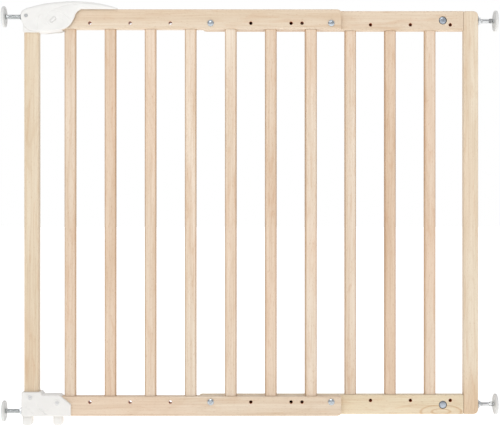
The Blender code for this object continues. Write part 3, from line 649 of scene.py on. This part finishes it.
def hinge_rod(name):
    """A threaded rod whose outer end is turned plain and flattened to an eye on the pad's pin."""
    low, high, centre = box_of(name)
    pivot = high.x - EYE_RADIUS
    shoulder = pivot - 4.9 * MM
    plain = 11 * MM
    length = shoulder - low.x
    rows = threaded(length - plain)
    rows += [(length - plain + 0.3 * MM, SPINDLE_RADIUS - 0.05 * MM)]
    rows += [(length - 0.3 * MM, SPINDLE_RADIUS - 0.05 * MM), (length, SPINDLE_RADIUS - 0.4 * MM)]
    bm = radial(rows, Vector((low.x, HINGE_Y, centre.z)), RIGHT, sides=28)
    body = loose(name + "_body", mesh_of(bm, name))
    z = centre.z - MID_Z
    half = 2.2 * MM
    tongue_low = (shoulder - 2 * MM, HINGE_Y - EYE_RADIUS, z - half)
    tongue = block(tongue_low, (pivot, HINGE_Y + EYE_RADIUS, z + half), "tongue")
    edge = 0.3 * MM
    rows = [(0.0, EYE_RADIUS - edge), (edge, EYE_RADIUS)]
    rows += [(2 * half - edge, EYE_RADIUS), (2 * half, EYE_RADIUS - edge)]
    start = Vector((pivot, HINGE_Y, centre.z - half))
    eye = loose("eye", mesh_of(radial(rows, start, UP, sides=40), "eye"))
    body = loose(name + "_joined", combined(body, [tongue, eye], "UNION"))
    start = Vector((pivot, HINGE_Y, centre.z - 6 * MM))
    hole = bar("eye_hole", start, UP, 12 * MM, PIN_HOLE_RADIUS, sides=32)
    piece(combined(body, [hole]), CHROME, "zinc", name)


def latch_rod(name):
    """A threaded rod with a ball end for its pad."""
    low, high, centre = box_of(name)
    ball_x = low.x + SPINDLE_RADIUS
    length = high.x - ball_x
    plain = 5 * MM
    rows = threaded(length - plain)
    rows += [(length - plain + 0.3 * MM, SPINDLE_RADIUS - 0.02 * MM)]
    rows += arc((length, 0.0), SPINDLE_RADIUS, 0, 88, 10)
    bm = radial(rows, Vector((high.x, centre.y, centre.z)), LEFT, sides=28)
    piece(mesh_of(bm, name), GREY_ROD, "zinc", name)


def rivet(name, axis):
    """A pivot stub with a softly domed end that shows."""
    low, high, centre = box_of(name)
    length, radius = high.y - low.y, (high.x - low.x) / 2
    start = high.y if axis is FRONT else low.y
    rows = [(0.0, radius - 0.3 * MM), (0.3 * MM, radius), (length - 0.55 * MM, radius)]
    rows += [(length - 0.25 * MM, radius * 0.93), (length - 0.08 * MM, radius * 0.72)]
    rows += [(length, radius * 0.35)]
    bm = radial(rows, Vector((centre.x, start, centre.z)), axis, sides=40)
    piece(mesh_of(bm, name), DULL_ZINC, "zinc", name)


def collar(name):
    """The ring round the top latch rod, at the slider, in near-black steel that also stands in for
    painted shade in the lever's opening.
    """
    low, high, centre = box_of(name)
    length, radius = high.x - low.x, (high.z - low.z) / 2
    rows = [(0.0, BORE_RADIUS), (0.0, radius - 0.4 * MM), (0.4 * MM, radius)]
    rows += [(length - 0.4 * MM, radius), (length, radius - 0.4 * MM), (length, BORE_RADIUS)]
    bm = radial(rows, Vector((low.x, centre.y, centre.z)), RIGHT, sides=48, hollow=True)
    piece(mesh_of(bm, name), DARK_STEEL_AND_SHADE, "zinc", name)


def build_hardware():
    for level in ("top", "bottom"):
        hinge_rod(f"hinge_spindle_{level}")
        latch_rod(f"latch_spindle_{level}")
        lock_nut(f"hinge_lock_nut_{level}", 9 * MM, RIGHT)
        barrel_nut(f"barrel_nut_{level}", 38 if level == "top" else -24)
        finish_node(f"hinge_pin_{level}", ZINC)
        for place, turn in (("outer", 20), ("inner", 52)):
            name = f"adjusting_screw_{level}_{place}"
            dome_screw(name, 5.6 * MM, 2.6 * MM, 2.6 * MM, turn, SCREW_ZINC, "zinc")
    lock_nut("latch_lock_nut_bottom", 8 * MM, LEFT)
    collar("upper_spindle_collar")
    rivet("handle_pivot_front", FRONT)
    rivet("handle_pivot_rear", BACK)
    for level, turn in (("upper", 12), ("lower", 35)):
        name = f"bracket_screw_{level}"
        dome_screw(name, 3.5 * MM, 1.2 * MM, 2 * MM, turn, SCREW_WHITE, "white_plastic")
    finish_node("handle_drive_pin", ZINC)
    finish_node("cam_slider", NYLON)
    finish_node("button_spring", SPRING)


build_hardware()

# ---- pads

PAD_RADIUS, PAD_THICK = 19 * MM, 5 * MM


def pad(name, axis, pocket):
    """A round wall pad from its wall face: a grooved gripping face, a soft rim and a dished back.
    A latch pad has a pocket for its rod's ball, and a hinge pad a plain hole for its stem."""
    low, high, centre = box_of(name)
    radius, thick = PAD_RADIUS, PAD_THICK
    wall = high.x if axis is LEFT else low.x
    rows = [(0.0, 0.6 * MM)]
    for ring in (4.5, 9.0, 13.5):
        rows += [(0.0, (ring - 0.5) * MM), (0.35 * MM, (ring - 0.2) * MM)]
        rows += [(0.35 * MM, (ring + 0.2) * MM), (0.0, (ring + 0.5) * MM)]
    rows += arc((1.6 * MM, radius - 1.6 * MM), 1.6 * MM, -90, 0, 6)
    rows += arc((thick - 1.8 * MM, radius - 1.8 * MM), 1.8 * MM, 0, 90, 7)
    rows += [(thick - 0.1 * MM, radius - 3.2 * MM), (thick - 0.85 * MM, radius - 4.6 * MM)]
    rows += [(thick - 1.0 * MM, radius - 6.5 * MM), (thick - 0.8 * MM, 8.6 * MM)]
    rows += [(thick - 0.3 * MM, 7.2 * MM), (thick, 6.2 * MM)]
    if pocket:
        depth = 3.7 * MM
        for step in range(1, 8):
            angle = math.pi / 2 * step / 8
            rows.append((thick - depth * math.sin(angle), BORE_RADIUS * math.cos(angle) + 0.02 * MM))
    else:
        rows += [(thick, 2.8 * MM), (thick - 3.3 * MM, 2.8 * MM)]
    bm = radial(rows, Vector((wall, centre.y if pocket else HINGE_Y, centre.z)), axis, sides=72)
    piece(mesh_of(bm, name), PAD, "pad_plastic", name)


def clevis(name):
    """A round fork on a stem in the pad, which holds the rod's eye on its pin."""
    _, high, centre = box_of(name)
    z = centre.z - MID_Z
    face = high.x - 3 * MM
    pivot = face - 5 * MM
    radius, stem = 4.3 * MM, 2.5 * MM
    rows = [(0.0, radius), (4.4 * MM, radius), (4.7 * MM, radius - 0.3 * MM)]
    rows += [(4.7 * MM, stem), (7.7 * MM, stem), (8 * MM, stem - 0.3 * MM)]
    body = loose(name + "_body", mesh_of(radial(rows, at(pivot, HINGE_Y, z), RIGHT, 48), name))
    nose_radius, tall, edge = radius - 0.05 * MM, 8.2 * MM, 0.4 * MM
    rows = [(0.0, nose_radius - edge), (edge, nose_radius)]
    rows += [(tall - edge, nose_radius), (tall, nose_radius - edge)]
    start = at(pivot, HINGE_Y, z - tall / 2)
    nose = loose("nose", mesh_of(radial(rows, start, UP, 44), "nose"))
    body = loose(name + "_joined", combined(body, [nose], "UNION"))
    half, wide = 2.5 * MM, 8 * MM
    mouth_high = (face - 1.2 * MM, HINGE_Y + wide, z + half)
    mouth = block((pivot - wide, HINGE_Y - wide, z - half), mouth_high, "mouth")
    start = at(pivot, HINGE_Y, z - 8 * MM)
    hole = bar("pin_hole", start, UP, 16 * MM, PIN_HOLE_RADIUS, sides=32)
    piece(combined(body, [mouth, hole]), CHROME, "zinc", name)


def build_pads():
    for level in ("top", "bottom"):
        pad(f"hinge_pad_{level}", LEFT, False)
        clevis(f"hinge_clevis_{level}")
        pad(f"latch_pad_{level}", RIGHT, True)


build_pads()

# ---- white parts


def spaced(outline, gap):
    """The same closed outline, in millimetres, with no two points further apart than a gap."""
    dense = []
    for here, there in zip(outline, outline[1:] + outline[:1]):
        steps = max(1, math.ceil((there - here).length / gap))
        dense += [here.lerp(there, n / steps) for n in range(steps)]
    return dense


def distances(points, starts, ends):
    """How far each point is from the nearest of some straight stretches."""
    nearest = np.full(len(points), np.inf)
    for start, end in zip(starts, ends):
        run = end - start
        share = np.clip((points - start) @ run / max(run @ run, 1e-12), 0, 1)
        off = points - start - share[:, None] * run
        nearest = np.minimum(nearest, np.hypot(off[:, 0], off[:, 1]))
    return nearest


def enclosed(points, outline):
    """Which points lie inside a closed outline."""
    inside = np.zeros(len(points), bool)
    x, z = points[:, 0], points[:, 1]
    for (x1, z1), (x2, z2) in zip(outline, np.roll(outline, -1, axis=0)):
        if z1 != z2:
            crosses = ((z1 > z) != (z2 > z)) & (x < (x2 - x1) * (z - z1) / (z2 - z1) + x1)
            inside ^= crosses
    return inside


# millimetres in from a rounded rim, of its rows of points
INSETS = (0.12, 0.4, 0.85, 1.5, 2.3, 3.3, 4.6, 6.2)
ROW_RISE = 0.866  # between the rows of a grid of even triangles, in shares of its gap
NEARLY = 0.96  # share of its depth that a point must keep from the whole rim


def face_points(outline, gap):
    """Points to build a face from: its outline, rows that follow its rim, and a grid inside."""
    rim = np.array([tuple(point) for point in outline])
    after = np.roll(rim, -1, axis=0)
    run = after - np.roll(rim, 1, axis=0)
    inward = np.stack([-run[:, 1], run[:, 0]], axis=1)
    inward /= np.linalg.norm(inward, axis=1)[:, None]
    if not enclosed(rim[:1] + 0.05 * inward[:1], rim)[0]:
        inward = -inward
    kept = [rim]
    for depth in INSETS:
        row = rim + depth * inward
        clear = distances(row, rim, after) > NEARLY * depth
        kept.append(row[clear & enclosed(row, rim)])
    low, high = rim.min(0), rim.max(0)
    grid = []
    for line, z in enumerate(np.arange(low[1], high[1], gap * ROW_RISE)):
        for x in np.arange(low[0] + (line % 2) * gap / 2, high[0], gap):
            grid.append((x, z))
    grid = np.array(grid)
    clear = distances(grid, rim, after) > INSETS[-1] + 0.4 * gap
    kept.append(grid[clear & enclosed(grid, rim)])
    return np.concatenate(kept), rim


def rounded_drop(distance, radius):
    """How far a face falls back near its rim, for a quarter round of a radius."""
    inner = radius - np.minimum(distance, radius)
    return radius - np.sqrt(np.maximum(radius * radius - inner * inner, 0))


def crowned_plate(name, outline, front, back, front_round, back_round, relief=None, gap=1.4):
    """A plate standing in the XZ plane with quarter-round rims, all in millimetres. A rounding
    is a radius or a function of the places; relief gives how far the front is sunk at each."""
    dense = spaced(outline, gap)
    points, rim = face_points(dense, gap)
    sides = [(n, (n + 1) % len(rim)) for n in range(len(rim))]
    flat, _, triangles, *_ = delaunay_2d_cdt([Vector(p) for p in points], sides, [], 1, 1e-5)
    places = np.array([tuple(p) for p in flat])
    depth = distances(places, rim, np.roll(rim, -1, axis=0))

    def fall(rounding):
        radius = rounding(places) if callable(rounding) else np.full(len(places), rounding)
        return rounded_drop(depth, radius)

    front_y = front + fall(front_round)
    if relief is not None:
        front_y = front_y + relief(places) * np.clip(depth / 1.5, 0, 1)
    back_y = back - fall(back_round)
    bm = bmesh.new()
    faces = []
    for heights in (front_y, back_y):
        faces.append([
            bm.verts.new((x * MM, y * MM, MID_Z + z * MM)) for (x, z), y in zip(places, heights)
        ])
    used = {}
    for corners in triangles:
        bm.faces.new([faces[0][n] for n in corners])
        bm.faces.new([faces[1][n] for n in reversed(corners)])
        for a, b in zip(corners, corners[1:] + corners[:1]):
            used[frozenset((a, b))] = used.get(frozenset((a, b)), 0) + 1
    for pair, count in used.items():
        if count == 1:
            a, b = pair
            bm.faces.new((faces[0][a], faces[0][b], faces[1][b], faces[1][a]))
    bmesh.ops.recalc_face_normals(bm, faces=bm.faces)
    return loose(name + "_body", mesh_of(bm, name))


def bow(start, middle, end, steps=14):
    """Points along the curve through three places."""
    points = []
    for step in range(steps + 1):
        t = step / steps
        weights = ((1 - t) * (1 - 2 * t), 4 * t * (1 - t), t * (2 * t - 1))
        points.append(tuple(
            sum(w * place[axis] for w, place in zip(weights, (start, middle, end)))
            for axis in (0, 1)
        ))
    return np.array(points)


def engraving(lines, rings=()):
    """A relief of soft grooves along lines, each (points, width, depth), and of raised rings
    round centres, each (centre, radius, width, height)."""

    def relief(places):
        sunk = np.zeros(len(places))
        for points, width, depth in lines:
            off = distances(places, points[:-1], points[1:])
            sunk += depth * np.exp(-((off / width) ** 2))
        for centre, radius, width, height in rings:
            off = np.hypot(places[:, 0] - centre[0], places[:, 1] - centre[1]) - radius
            sunk -= height * np.exp(-((off / width) ** 2))
        return sunk

    return relief


def filleted(corners, steps=6):
    """The outline through (x, z, radius) corners, each rounded by an arc of its radius."""
    outline = []
    for n, (x, z, radius) in enumerate(corners):
        here = Vector((x, z))
        before = (Vector(corners[n - 1][:2]) - here).normalized()
        after = (Vector(corners[(n + 1) % len(corners)][:2]) - here).normalized()
        half = before.angle(after) / 2
        centre = here + (before + after).normalized() * radius / math.sin(half)
        first = here + before * radius / math.tan(half) - centre
        sweep = first.angle_signed(here + after * radius / math.tan(half) - centre)
        for step in range(steps + 1):
            outline.append(centre + Matrix.Rotation(-sweep * step / steps, 2) @ first)
    return outline


def flowing(knots, steps=14):
    """The closed outline that flows through its smooth knots and turns at the others."""
    curve = bpy.data.curves.new("outline", "CURVE")
    curve.dimensions = "2D"
    curve.fill_mode = "NONE"
    spline = curve.splines.new("BEZIER")
    spline.resolution_u = steps
    spline.bezier_points.add(len(knots) - 1)
    for point, (x, z, flows) in zip(spline.bezier_points, knots):
        point.co = (x, z, 0)
        point.handle_left_type = point.handle_right_type = "AUTO" if flows else "VECTOR"
    spline.use_cyclic_u = True
    drawn = loose("outline", curve)
    bpy.context.view_layer.update()
    mesh = bpy.data.meshes.new_from_object(
        drawn.evaluated_get(bpy.context.evaluated_depsgraph_get())
    )
    outline = [Vector(vertex.co[:2]) for vertex in mesh.vertices]
    bpy.data.objects.remove(drawn)
    bpy.data.meshes.remove(mesh)
    return outline


def drill(x, y, z, radius, length, axis=BACK):
    """A round cutter that starts at a place, in millimetres."""
    return bar("drill", at(x * MM, y * MM, z * MM), axis, length * MM, radius * MM)


def chisel(low, high):
    """A box cutter in millimetres."""
    return block(Vector(low) * MM, Vector(high) * MM, "chisel")


# in millimetres, with heights from the middle of the frame
LATCH_MM = LATCH_Y / MM
PIVOT = (-399.8, 350.6)
PIVOT_BORE = 3.3
DRIVE_REST = (-400.59, 341.53)  # the drive pin with the lever down
DRIVE_LIFTED = (-394.58, 343.15)
LEVER_HALF, SKIN = 16.5, 3.0  # half the lever's depth, and its wall
LEVER_FRONT = LATCH_MM - LEVER_HALF
BUTTON = Vector((-351.8, 343.3))
BUTTON_TILT = math.radians(41)
ROOF = 364.2  # of the lever's hollow
FAR_LEFT, FAR_RIGHT, FAR_BELOW = -430, -200, 300  # past the lever's ends and its open side
RAIL_END, PAST_CAP = -391.5, -250
# up the left end, over the crown to the tip, back along the rail and down the thumb curve
LEVER_KNOTS = [
    (-408.6, 341.0, False),
    (-409.7, 352.0, True),
    (-407.4, 359.6, True),
    (-389.0, 367.6, True),
    (-339.0, 375.8, True),
    (-300.0, 376.4, True),
    (-268.0, 372.6, True),
    (-237.0, 363.6, True),
    (-234.6, 361.2, False),
    (-302.5, 361.2, False),
    (-309.8, 356.4, True),
    (-315.8, 343.5, True),
    (-325.2, 331.0, True),
    (-342.0, 323.8, False),
    (-389.0, 323.8, True),
    (-402.2, 331.0, True),
]


def pill(length, width):
    """A round-ended outline lying along the catch's slanted line."""
    half, r = length / 2, width / 2
    corners = []
    for x, z in ((-half, -r), (half, -r), (half, r), (-half, r)):
        place = Matrix.Rotation(BUTTON_TILT, 2) @ Vector((x, z)) + BUTTON
        corners.append((*place, 0.998 * r))
    return filleted(corners, 8)


def lever_rounding(places):
    """The rim is tight round the open skirt and generous over the crown."""
    share = np.clip((places[:, 1] - 352) / 14, 0, 1)
    return 2.4 + 4.4 * share * share * (3 - 2 * share)


def build_lever():
    """The hollow cam lever, with the button's window and the moulded lines of its face."""
    lines = [
        (bow((-380.7, 326.5), (-380.4, 339.0), (-378.0, 349.0)), 0.8, 0.72),
        (bow((-378.0, 349.0), (-373.5, 353.6), (-364.2, 355.2)), 0.8, 0.72),
        (bow((-358.9, 356.7), (-338.0, 366.6), (-312.7, 370.9)), 1.0, 0.88),
        (bow((-312.7, 370.9), (-291.0, 373.1), (-268.2, 370.4)), 1.0, 0.64),
        (bow((-353.5, 356.7), (-337.5, 356.2), (-323.3, 346.0)), 0.9, 0.80),
        (bow((-361.5, 351.0), (-364.0, 342.0), (-357.5, 333.5)), 0.8, 0.56),
        (bow((-343.0, 350.6), (-336.5, 344.5), (-334.6, 335.0)), 0.8, 0.56),
    ]
    rings = [((-368.1, 335.0), 3.1, 0.8, 0.45)]
    rear = LATCH_MM + LEVER_HALF
    body = crowned_plate(
        "handle_lever", flowing(LEVER_KNOTS), LEVER_FRONT, rear, lever_rounding,
        lever_rounding, engraving(lines, rings), gap=1.15,
    )
    inside = LEVER_HALF - SKIN
    window = crowned_plate(
        "button_window", pill(13, 6), LEVER_FRONT - 3, LEVER_FRONT + SKIN + 1, 0, 0
    )
    hollow = chisel((FAR_LEFT, LATCH_MM - inside, FAR_BELOW), (FAR_RIGHT, LATCH_MM + inside, ROOF))
    rail_room = chisel((-313.5, LATCH_MM + 5, FAR_BELOW), (FAR_RIGHT, LATCH_MM + 30, ROOF))
    cover = 0.7  # of plastic over the drive pin's blind hole
    deep = 2 * (LEVER_HALF - cover)
    drive_hole = drill(DRIVE_REST[0], LEVER_FRONT + cover, DRIVE_REST[1], 2.8, deep)
    pivot_hole = drill(PIVOT[0], LATCH_MM - 20, PIVOT[1], PIVOT_BORE, 40)
    cutters = [hollow, rail_room, pivot_hole, drive_hole, window]
    piece(combined(body, cutters), WHITE, "white_plastic", "handle_lever", degrees=38)


def build_button():
    """A crowned pill on a flange that stays behind the lever's skin."""
    along = Matrix.Rotation(BUTTON_TILT, 2)
    ribs = []
    for shift in (-2.4, 0.0, 2.4):
        ends = [along @ Vector((shift, side)) + BUTTON for side in (-1.5, 1.5)]
        ribs.append((np.array([tuple(end) for end in ends]), 0.45, 0.30))
    inner = LEVER_FRONT + SKIN
    cap = crowned_plate(
        "release_button", pill(12.2, 5.2), LEVER_FRONT - 1.2, inner + 1, 1.1, 0,
        engraving(ribs), gap=0.5,
    )
    flange = crowned_plate("button_flange", pill(15, 8), inner + 0.3, inner + 1.3, 0, 0)
    mesh = combined(cap, [flange], "UNION")
    piece(mesh, WHITE, "white_plastic", "release_button", degrees=38)


def timber_cutter(name, low_x=None, high_x=None, below=0.0):
    """A cutter for the space of a post or rail, with air all round it and more below."""
    low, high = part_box(name)
    low = low - Vector((GAP, GAP, GAP + below))
    high = high + Vector((GAP, GAP, GAP))
    low.x = low.x if low_x is None else low_x * MM
    high.x = high.x if high_x is None else high_x * MM
    return block(low - MID_Z * UP, high - MID_Z * UP, "timber")


CAP_CORNERS = [
    (-406, 321.2, 1.5),
    (-379, 321.2, 20),
    (-338, 326.2, 1),
    (-338, 328.6, 1),
    (-366, 334, 4),
    (-366, 357, 3),
    (-399, 357, 6),
    (-406, 350, 3),
]
BRACKET_CORNERS = [
    (-408.7, -362.8, 2.5),
    (-320.5, -362.8, 1.5),
    (-320.5, -341.5, 2),
    (-341, -324.8, 2),
    (-371, -324.8, 1),
    (-374.6, -319.5, 1.5),
    (-408.7, -319.5, 2.5),
]
BRACKET_SCREWS = ((-393, -328.8), (-344.7, -338.5))
LOWER_ROD_Z = -355.4
SHELL_SEAM = 0.15  # half the air between a front and a rear shell


def shell_pair(prefix, corners, half, rim, relief, cutters):
    """A front and a rear shell over a corner of the frame. cutters makes a fresh set each time."""
    for side, front, back in (
        ("front", LATCH_MM - half, LATCH_MM - SHELL_SEAM),
        ("rear", LATCH_MM + SHELL_SEAM, LATCH_MM + half),
    ):
        name = f"{prefix}_{side}"
        rounds = (rim, 0) if side == "front" else (0, rim)
        body = crowned_plate(
            name, filleted(corners), front, back, *rounds, relief if side == "front" else None
        )
        piece(combined(body, cutters()), WHITE, "white_plastic", name, degrees=38)


def cap_cutters():
    """The room inside the cap: the timber, the slider's way and the drive pin's travel."""
    clear = 2.9
    return [
        timber_cutter("latch_post"),
        timber_cutter("latch_top_rail", low_x=RAIL_END, high_x=PAST_CAP),
        chisel((-410.5, LATCH_MM - 6.5, 332), (RAIL_END, LATCH_MM + 6.5, 363)),
        chisel(
            (DRIVE_REST[0] - clear, LATCH_MM - 20, DRIVE_REST[1] - clear),
            (DRIVE_LIFTED[0] + clear, LATCH_MM + 20, DRIVE_LIFTED[1] + clear),
        ),
        drill(PIVOT[0], LATCH_MM - 20, PIVOT[1], PIVOT_BORE, 40),
    ]


def bracket_cutters():
    """The room inside the bracket, which is open below the timber, and its bores."""
    open_below = 5 * MM
    bores = [drill(x, LATCH_MM - 20, z, 2.3, 40) for x, z in BRACKET_SCREWS]
    return [
        timber_cutter("latch_post", below=open_below),
        timber_cutter("latch_bottom_rail", low_x=RAIL_END, high_x=PAST_CAP, below=open_below),
        drill(-420, LATCH_MM, LOWER_ROD_Z, 4.5, 60, RIGHT),
        *bores,
    ]


def build_shells():
    shell_pair("handle_cap", CAP_CORNERS, 13.2, 1.4, None, cap_cutters)
    marks = [
        (bow((-400.1, -345.9), (-400.3, -343.9), (-399.9, -341.9), 4), 0.8, 0.75),
        (bow((-396.3, -347.9), (-395.1, -349.2), (-393.9, -350.4), 4), 0.8, 0.75),
        (bow((-391.1, -353.4), (-389.1, -355.4), (-387.4, -357.4), 4), 0.8, 0.90),
        (bow((-379.7, -336.5), (-379.7, -341.0), (-379.7, -346.6), 6), 0.7, 0.90),
        (bow((-375.8, -348.3), (-370.4, -353.4), (-364.6, -357.6), 8), 1.1, 1.65),
    ]
    rings = [(screw, 5.2, 0.9, 0.8) for screw in BRACKET_SCREWS]
    shell_pair("bracket", BRACKET_CORNERS, 15.5, 2.2, engraving(marks, rings), bracket_cutters)


def build_foot(name):
    """A stub foot with a soft square section and a rounded sole."""
    low, high, centre = box_of(name)
    size = (high - low) / 2
    sole = 6 * MM
    squareness = 4.5  # 2 is an ellipse, and more is nearer a rectangle

    def section(shrink):
        def radius(angle):
            across = abs(math.cos(angle) / (size.x - shrink)) ** squareness
            deep = abs(math.sin(angle) / (size.y - 0.3 * shrink)) ** squareness
            return (across + deep) ** (-1 / squareness)

        return radius

    tall = high.z - low.z
    rows = []
    for step in range(9):
        angle = math.pi / 2 * step / 8
        rows.append((sole * (1 - math.cos(angle)), section(sole * (1 - math.sin(angle)))))
    rows.append((tall - 0.2 * MM, section(0.0)))
    rows.append((tall, section(0.2 * MM)))
    bm = radial(rows, Vector((centre.x, centre.y, low.z)), UP, sides=64)
    piece(mesh_of(bm, name), WHITE, "white_plastic", name)


build_lever()
build_button()
build_shells()
for name in ("bracket_foot_outer", "bracket_foot_inner"):
    build_foot(name)

# ---- studio

ROOM_WHITE = (1.0, 1.0, 1.0)
FRONT_WALL = (0.51, 0.51, 0.52)
LEFT_WALL = (0.2, 0.2, 0.21)
BACKDROP_FOOT = (0.38, 0.38, 0.39)
UPPER_WALLS = (0.58, 0.58, 0.60)
CEILING = (0.98, 0.98, 1.0)
CAMERA_PLACE = (-1.5 * MM, -2.07, 0.3789)
LENS_MM, SENSOR_MM = 82.8, 36
KEY_PLACE = (-0.4, -2.3, 2.1)
KEY_WIDTH, KEY_HEIGHT, KEY_POWER = 1.3, 0.7, 17
FLOOR_REACH, FLOOR_GLOW = 30, 0.56


def light_room(scene):
    """A room of soft light round the gate, by direction, which the camera sees as plain white."""
    world = bpy.data.worlds.new("studio")
    scene.world = world
    world.use_nodes = True
    tree = world.node_tree
    background = tree.nodes["Background"]
    x, y, height = parts(tree, node(tree, "ShaderNodeTexCoord").outputs["Generated"])
    wall = mixed(tree, between(tree, x, -0.45, -0.90), FRONT_WALL, LEFT_WALL)
    backdrop = mixed(tree, between(tree, height, 0.10, 0.15), BACKDROP_FOOT, ROOM_WHITE)
    wall = mixed(tree, between(tree, y, 0.60, 0.92), wall, backdrop)
    room = mixed(tree, between(tree, height, 0.30, 0.50), wall, UPPER_WALLS)
    room = mixed(tree, between(tree, height, 0.72, 0.92), room, CEILING)
    seen = node(tree, "ShaderNodeLightPath").outputs["Is Camera Ray"]
    tree.links.new(mixed(tree, seen, room, ROOM_WHITE), background.inputs["Color"])
    background.inputs["Strength"].default_value = 1.0


def place_camera(scene):
    """Straight in front of the gate, about level with its middle."""
    data = bpy.data.cameras.new("camera")
    data.lens = LENS_MM
    data.sensor_width = SENSOR_MM
    camera = bpy.data.objects.new("camera", data)
    camera.location = CAMERA_PLACE
    camera.rotation_euler = (math.radians(90), 0, 0)
    scene.collection.objects.link(camera)
    scene.camera = camera


def place_key(scene):
    """A soft key light above the camera, turned to the middle of the gate."""
    data = bpy.data.lights.new("key", "AREA")
    data.shape = "RECTANGLE"
    data.size = KEY_WIDTH
    data.size_y = KEY_HEIGHT
    data.energy = KEY_POWER
    key = bpy.data.objects.new("key", data)
    key.location = KEY_PLACE
    aim = Vector((0, 0, MID_Z)) - key.location
    key.rotation_euler = aim.to_track_quat("-Z", "Y").to_euler()
    scene.collection.objects.link(key)


def lay_floor():
    """A plain pale floor, which glows a little so that it is as white as the room."""
    bm = bmesh.new()
    bmesh.ops.create_grid(bm, x_segments=1, y_segments=1, size=FLOOR_REACH)
    floor = loose("floor", mesh_of(bm, "floor"))
    pale, _, shader = new_material("pale_floor")
    shader.inputs["Base Color"].default_value = (0.9, 0.9, 0.9, 1)
    shader.inputs["Roughness"].default_value = 0.8
    shader.inputs["Emission Color"].default_value = (1, 1, 1, 1)
    shader.inputs["Emission Strength"].default_value = FLOOR_GLOW
    floor.data.materials.append(pale)


def studio():
    scene = bpy.context.scene
    scene.view_settings.view_transform = "Standard"
    scene.view_settings.look = "None"
    light_room(scene)
    place_camera(scene)
    place_key(scene)
    lay_floor()


studio()
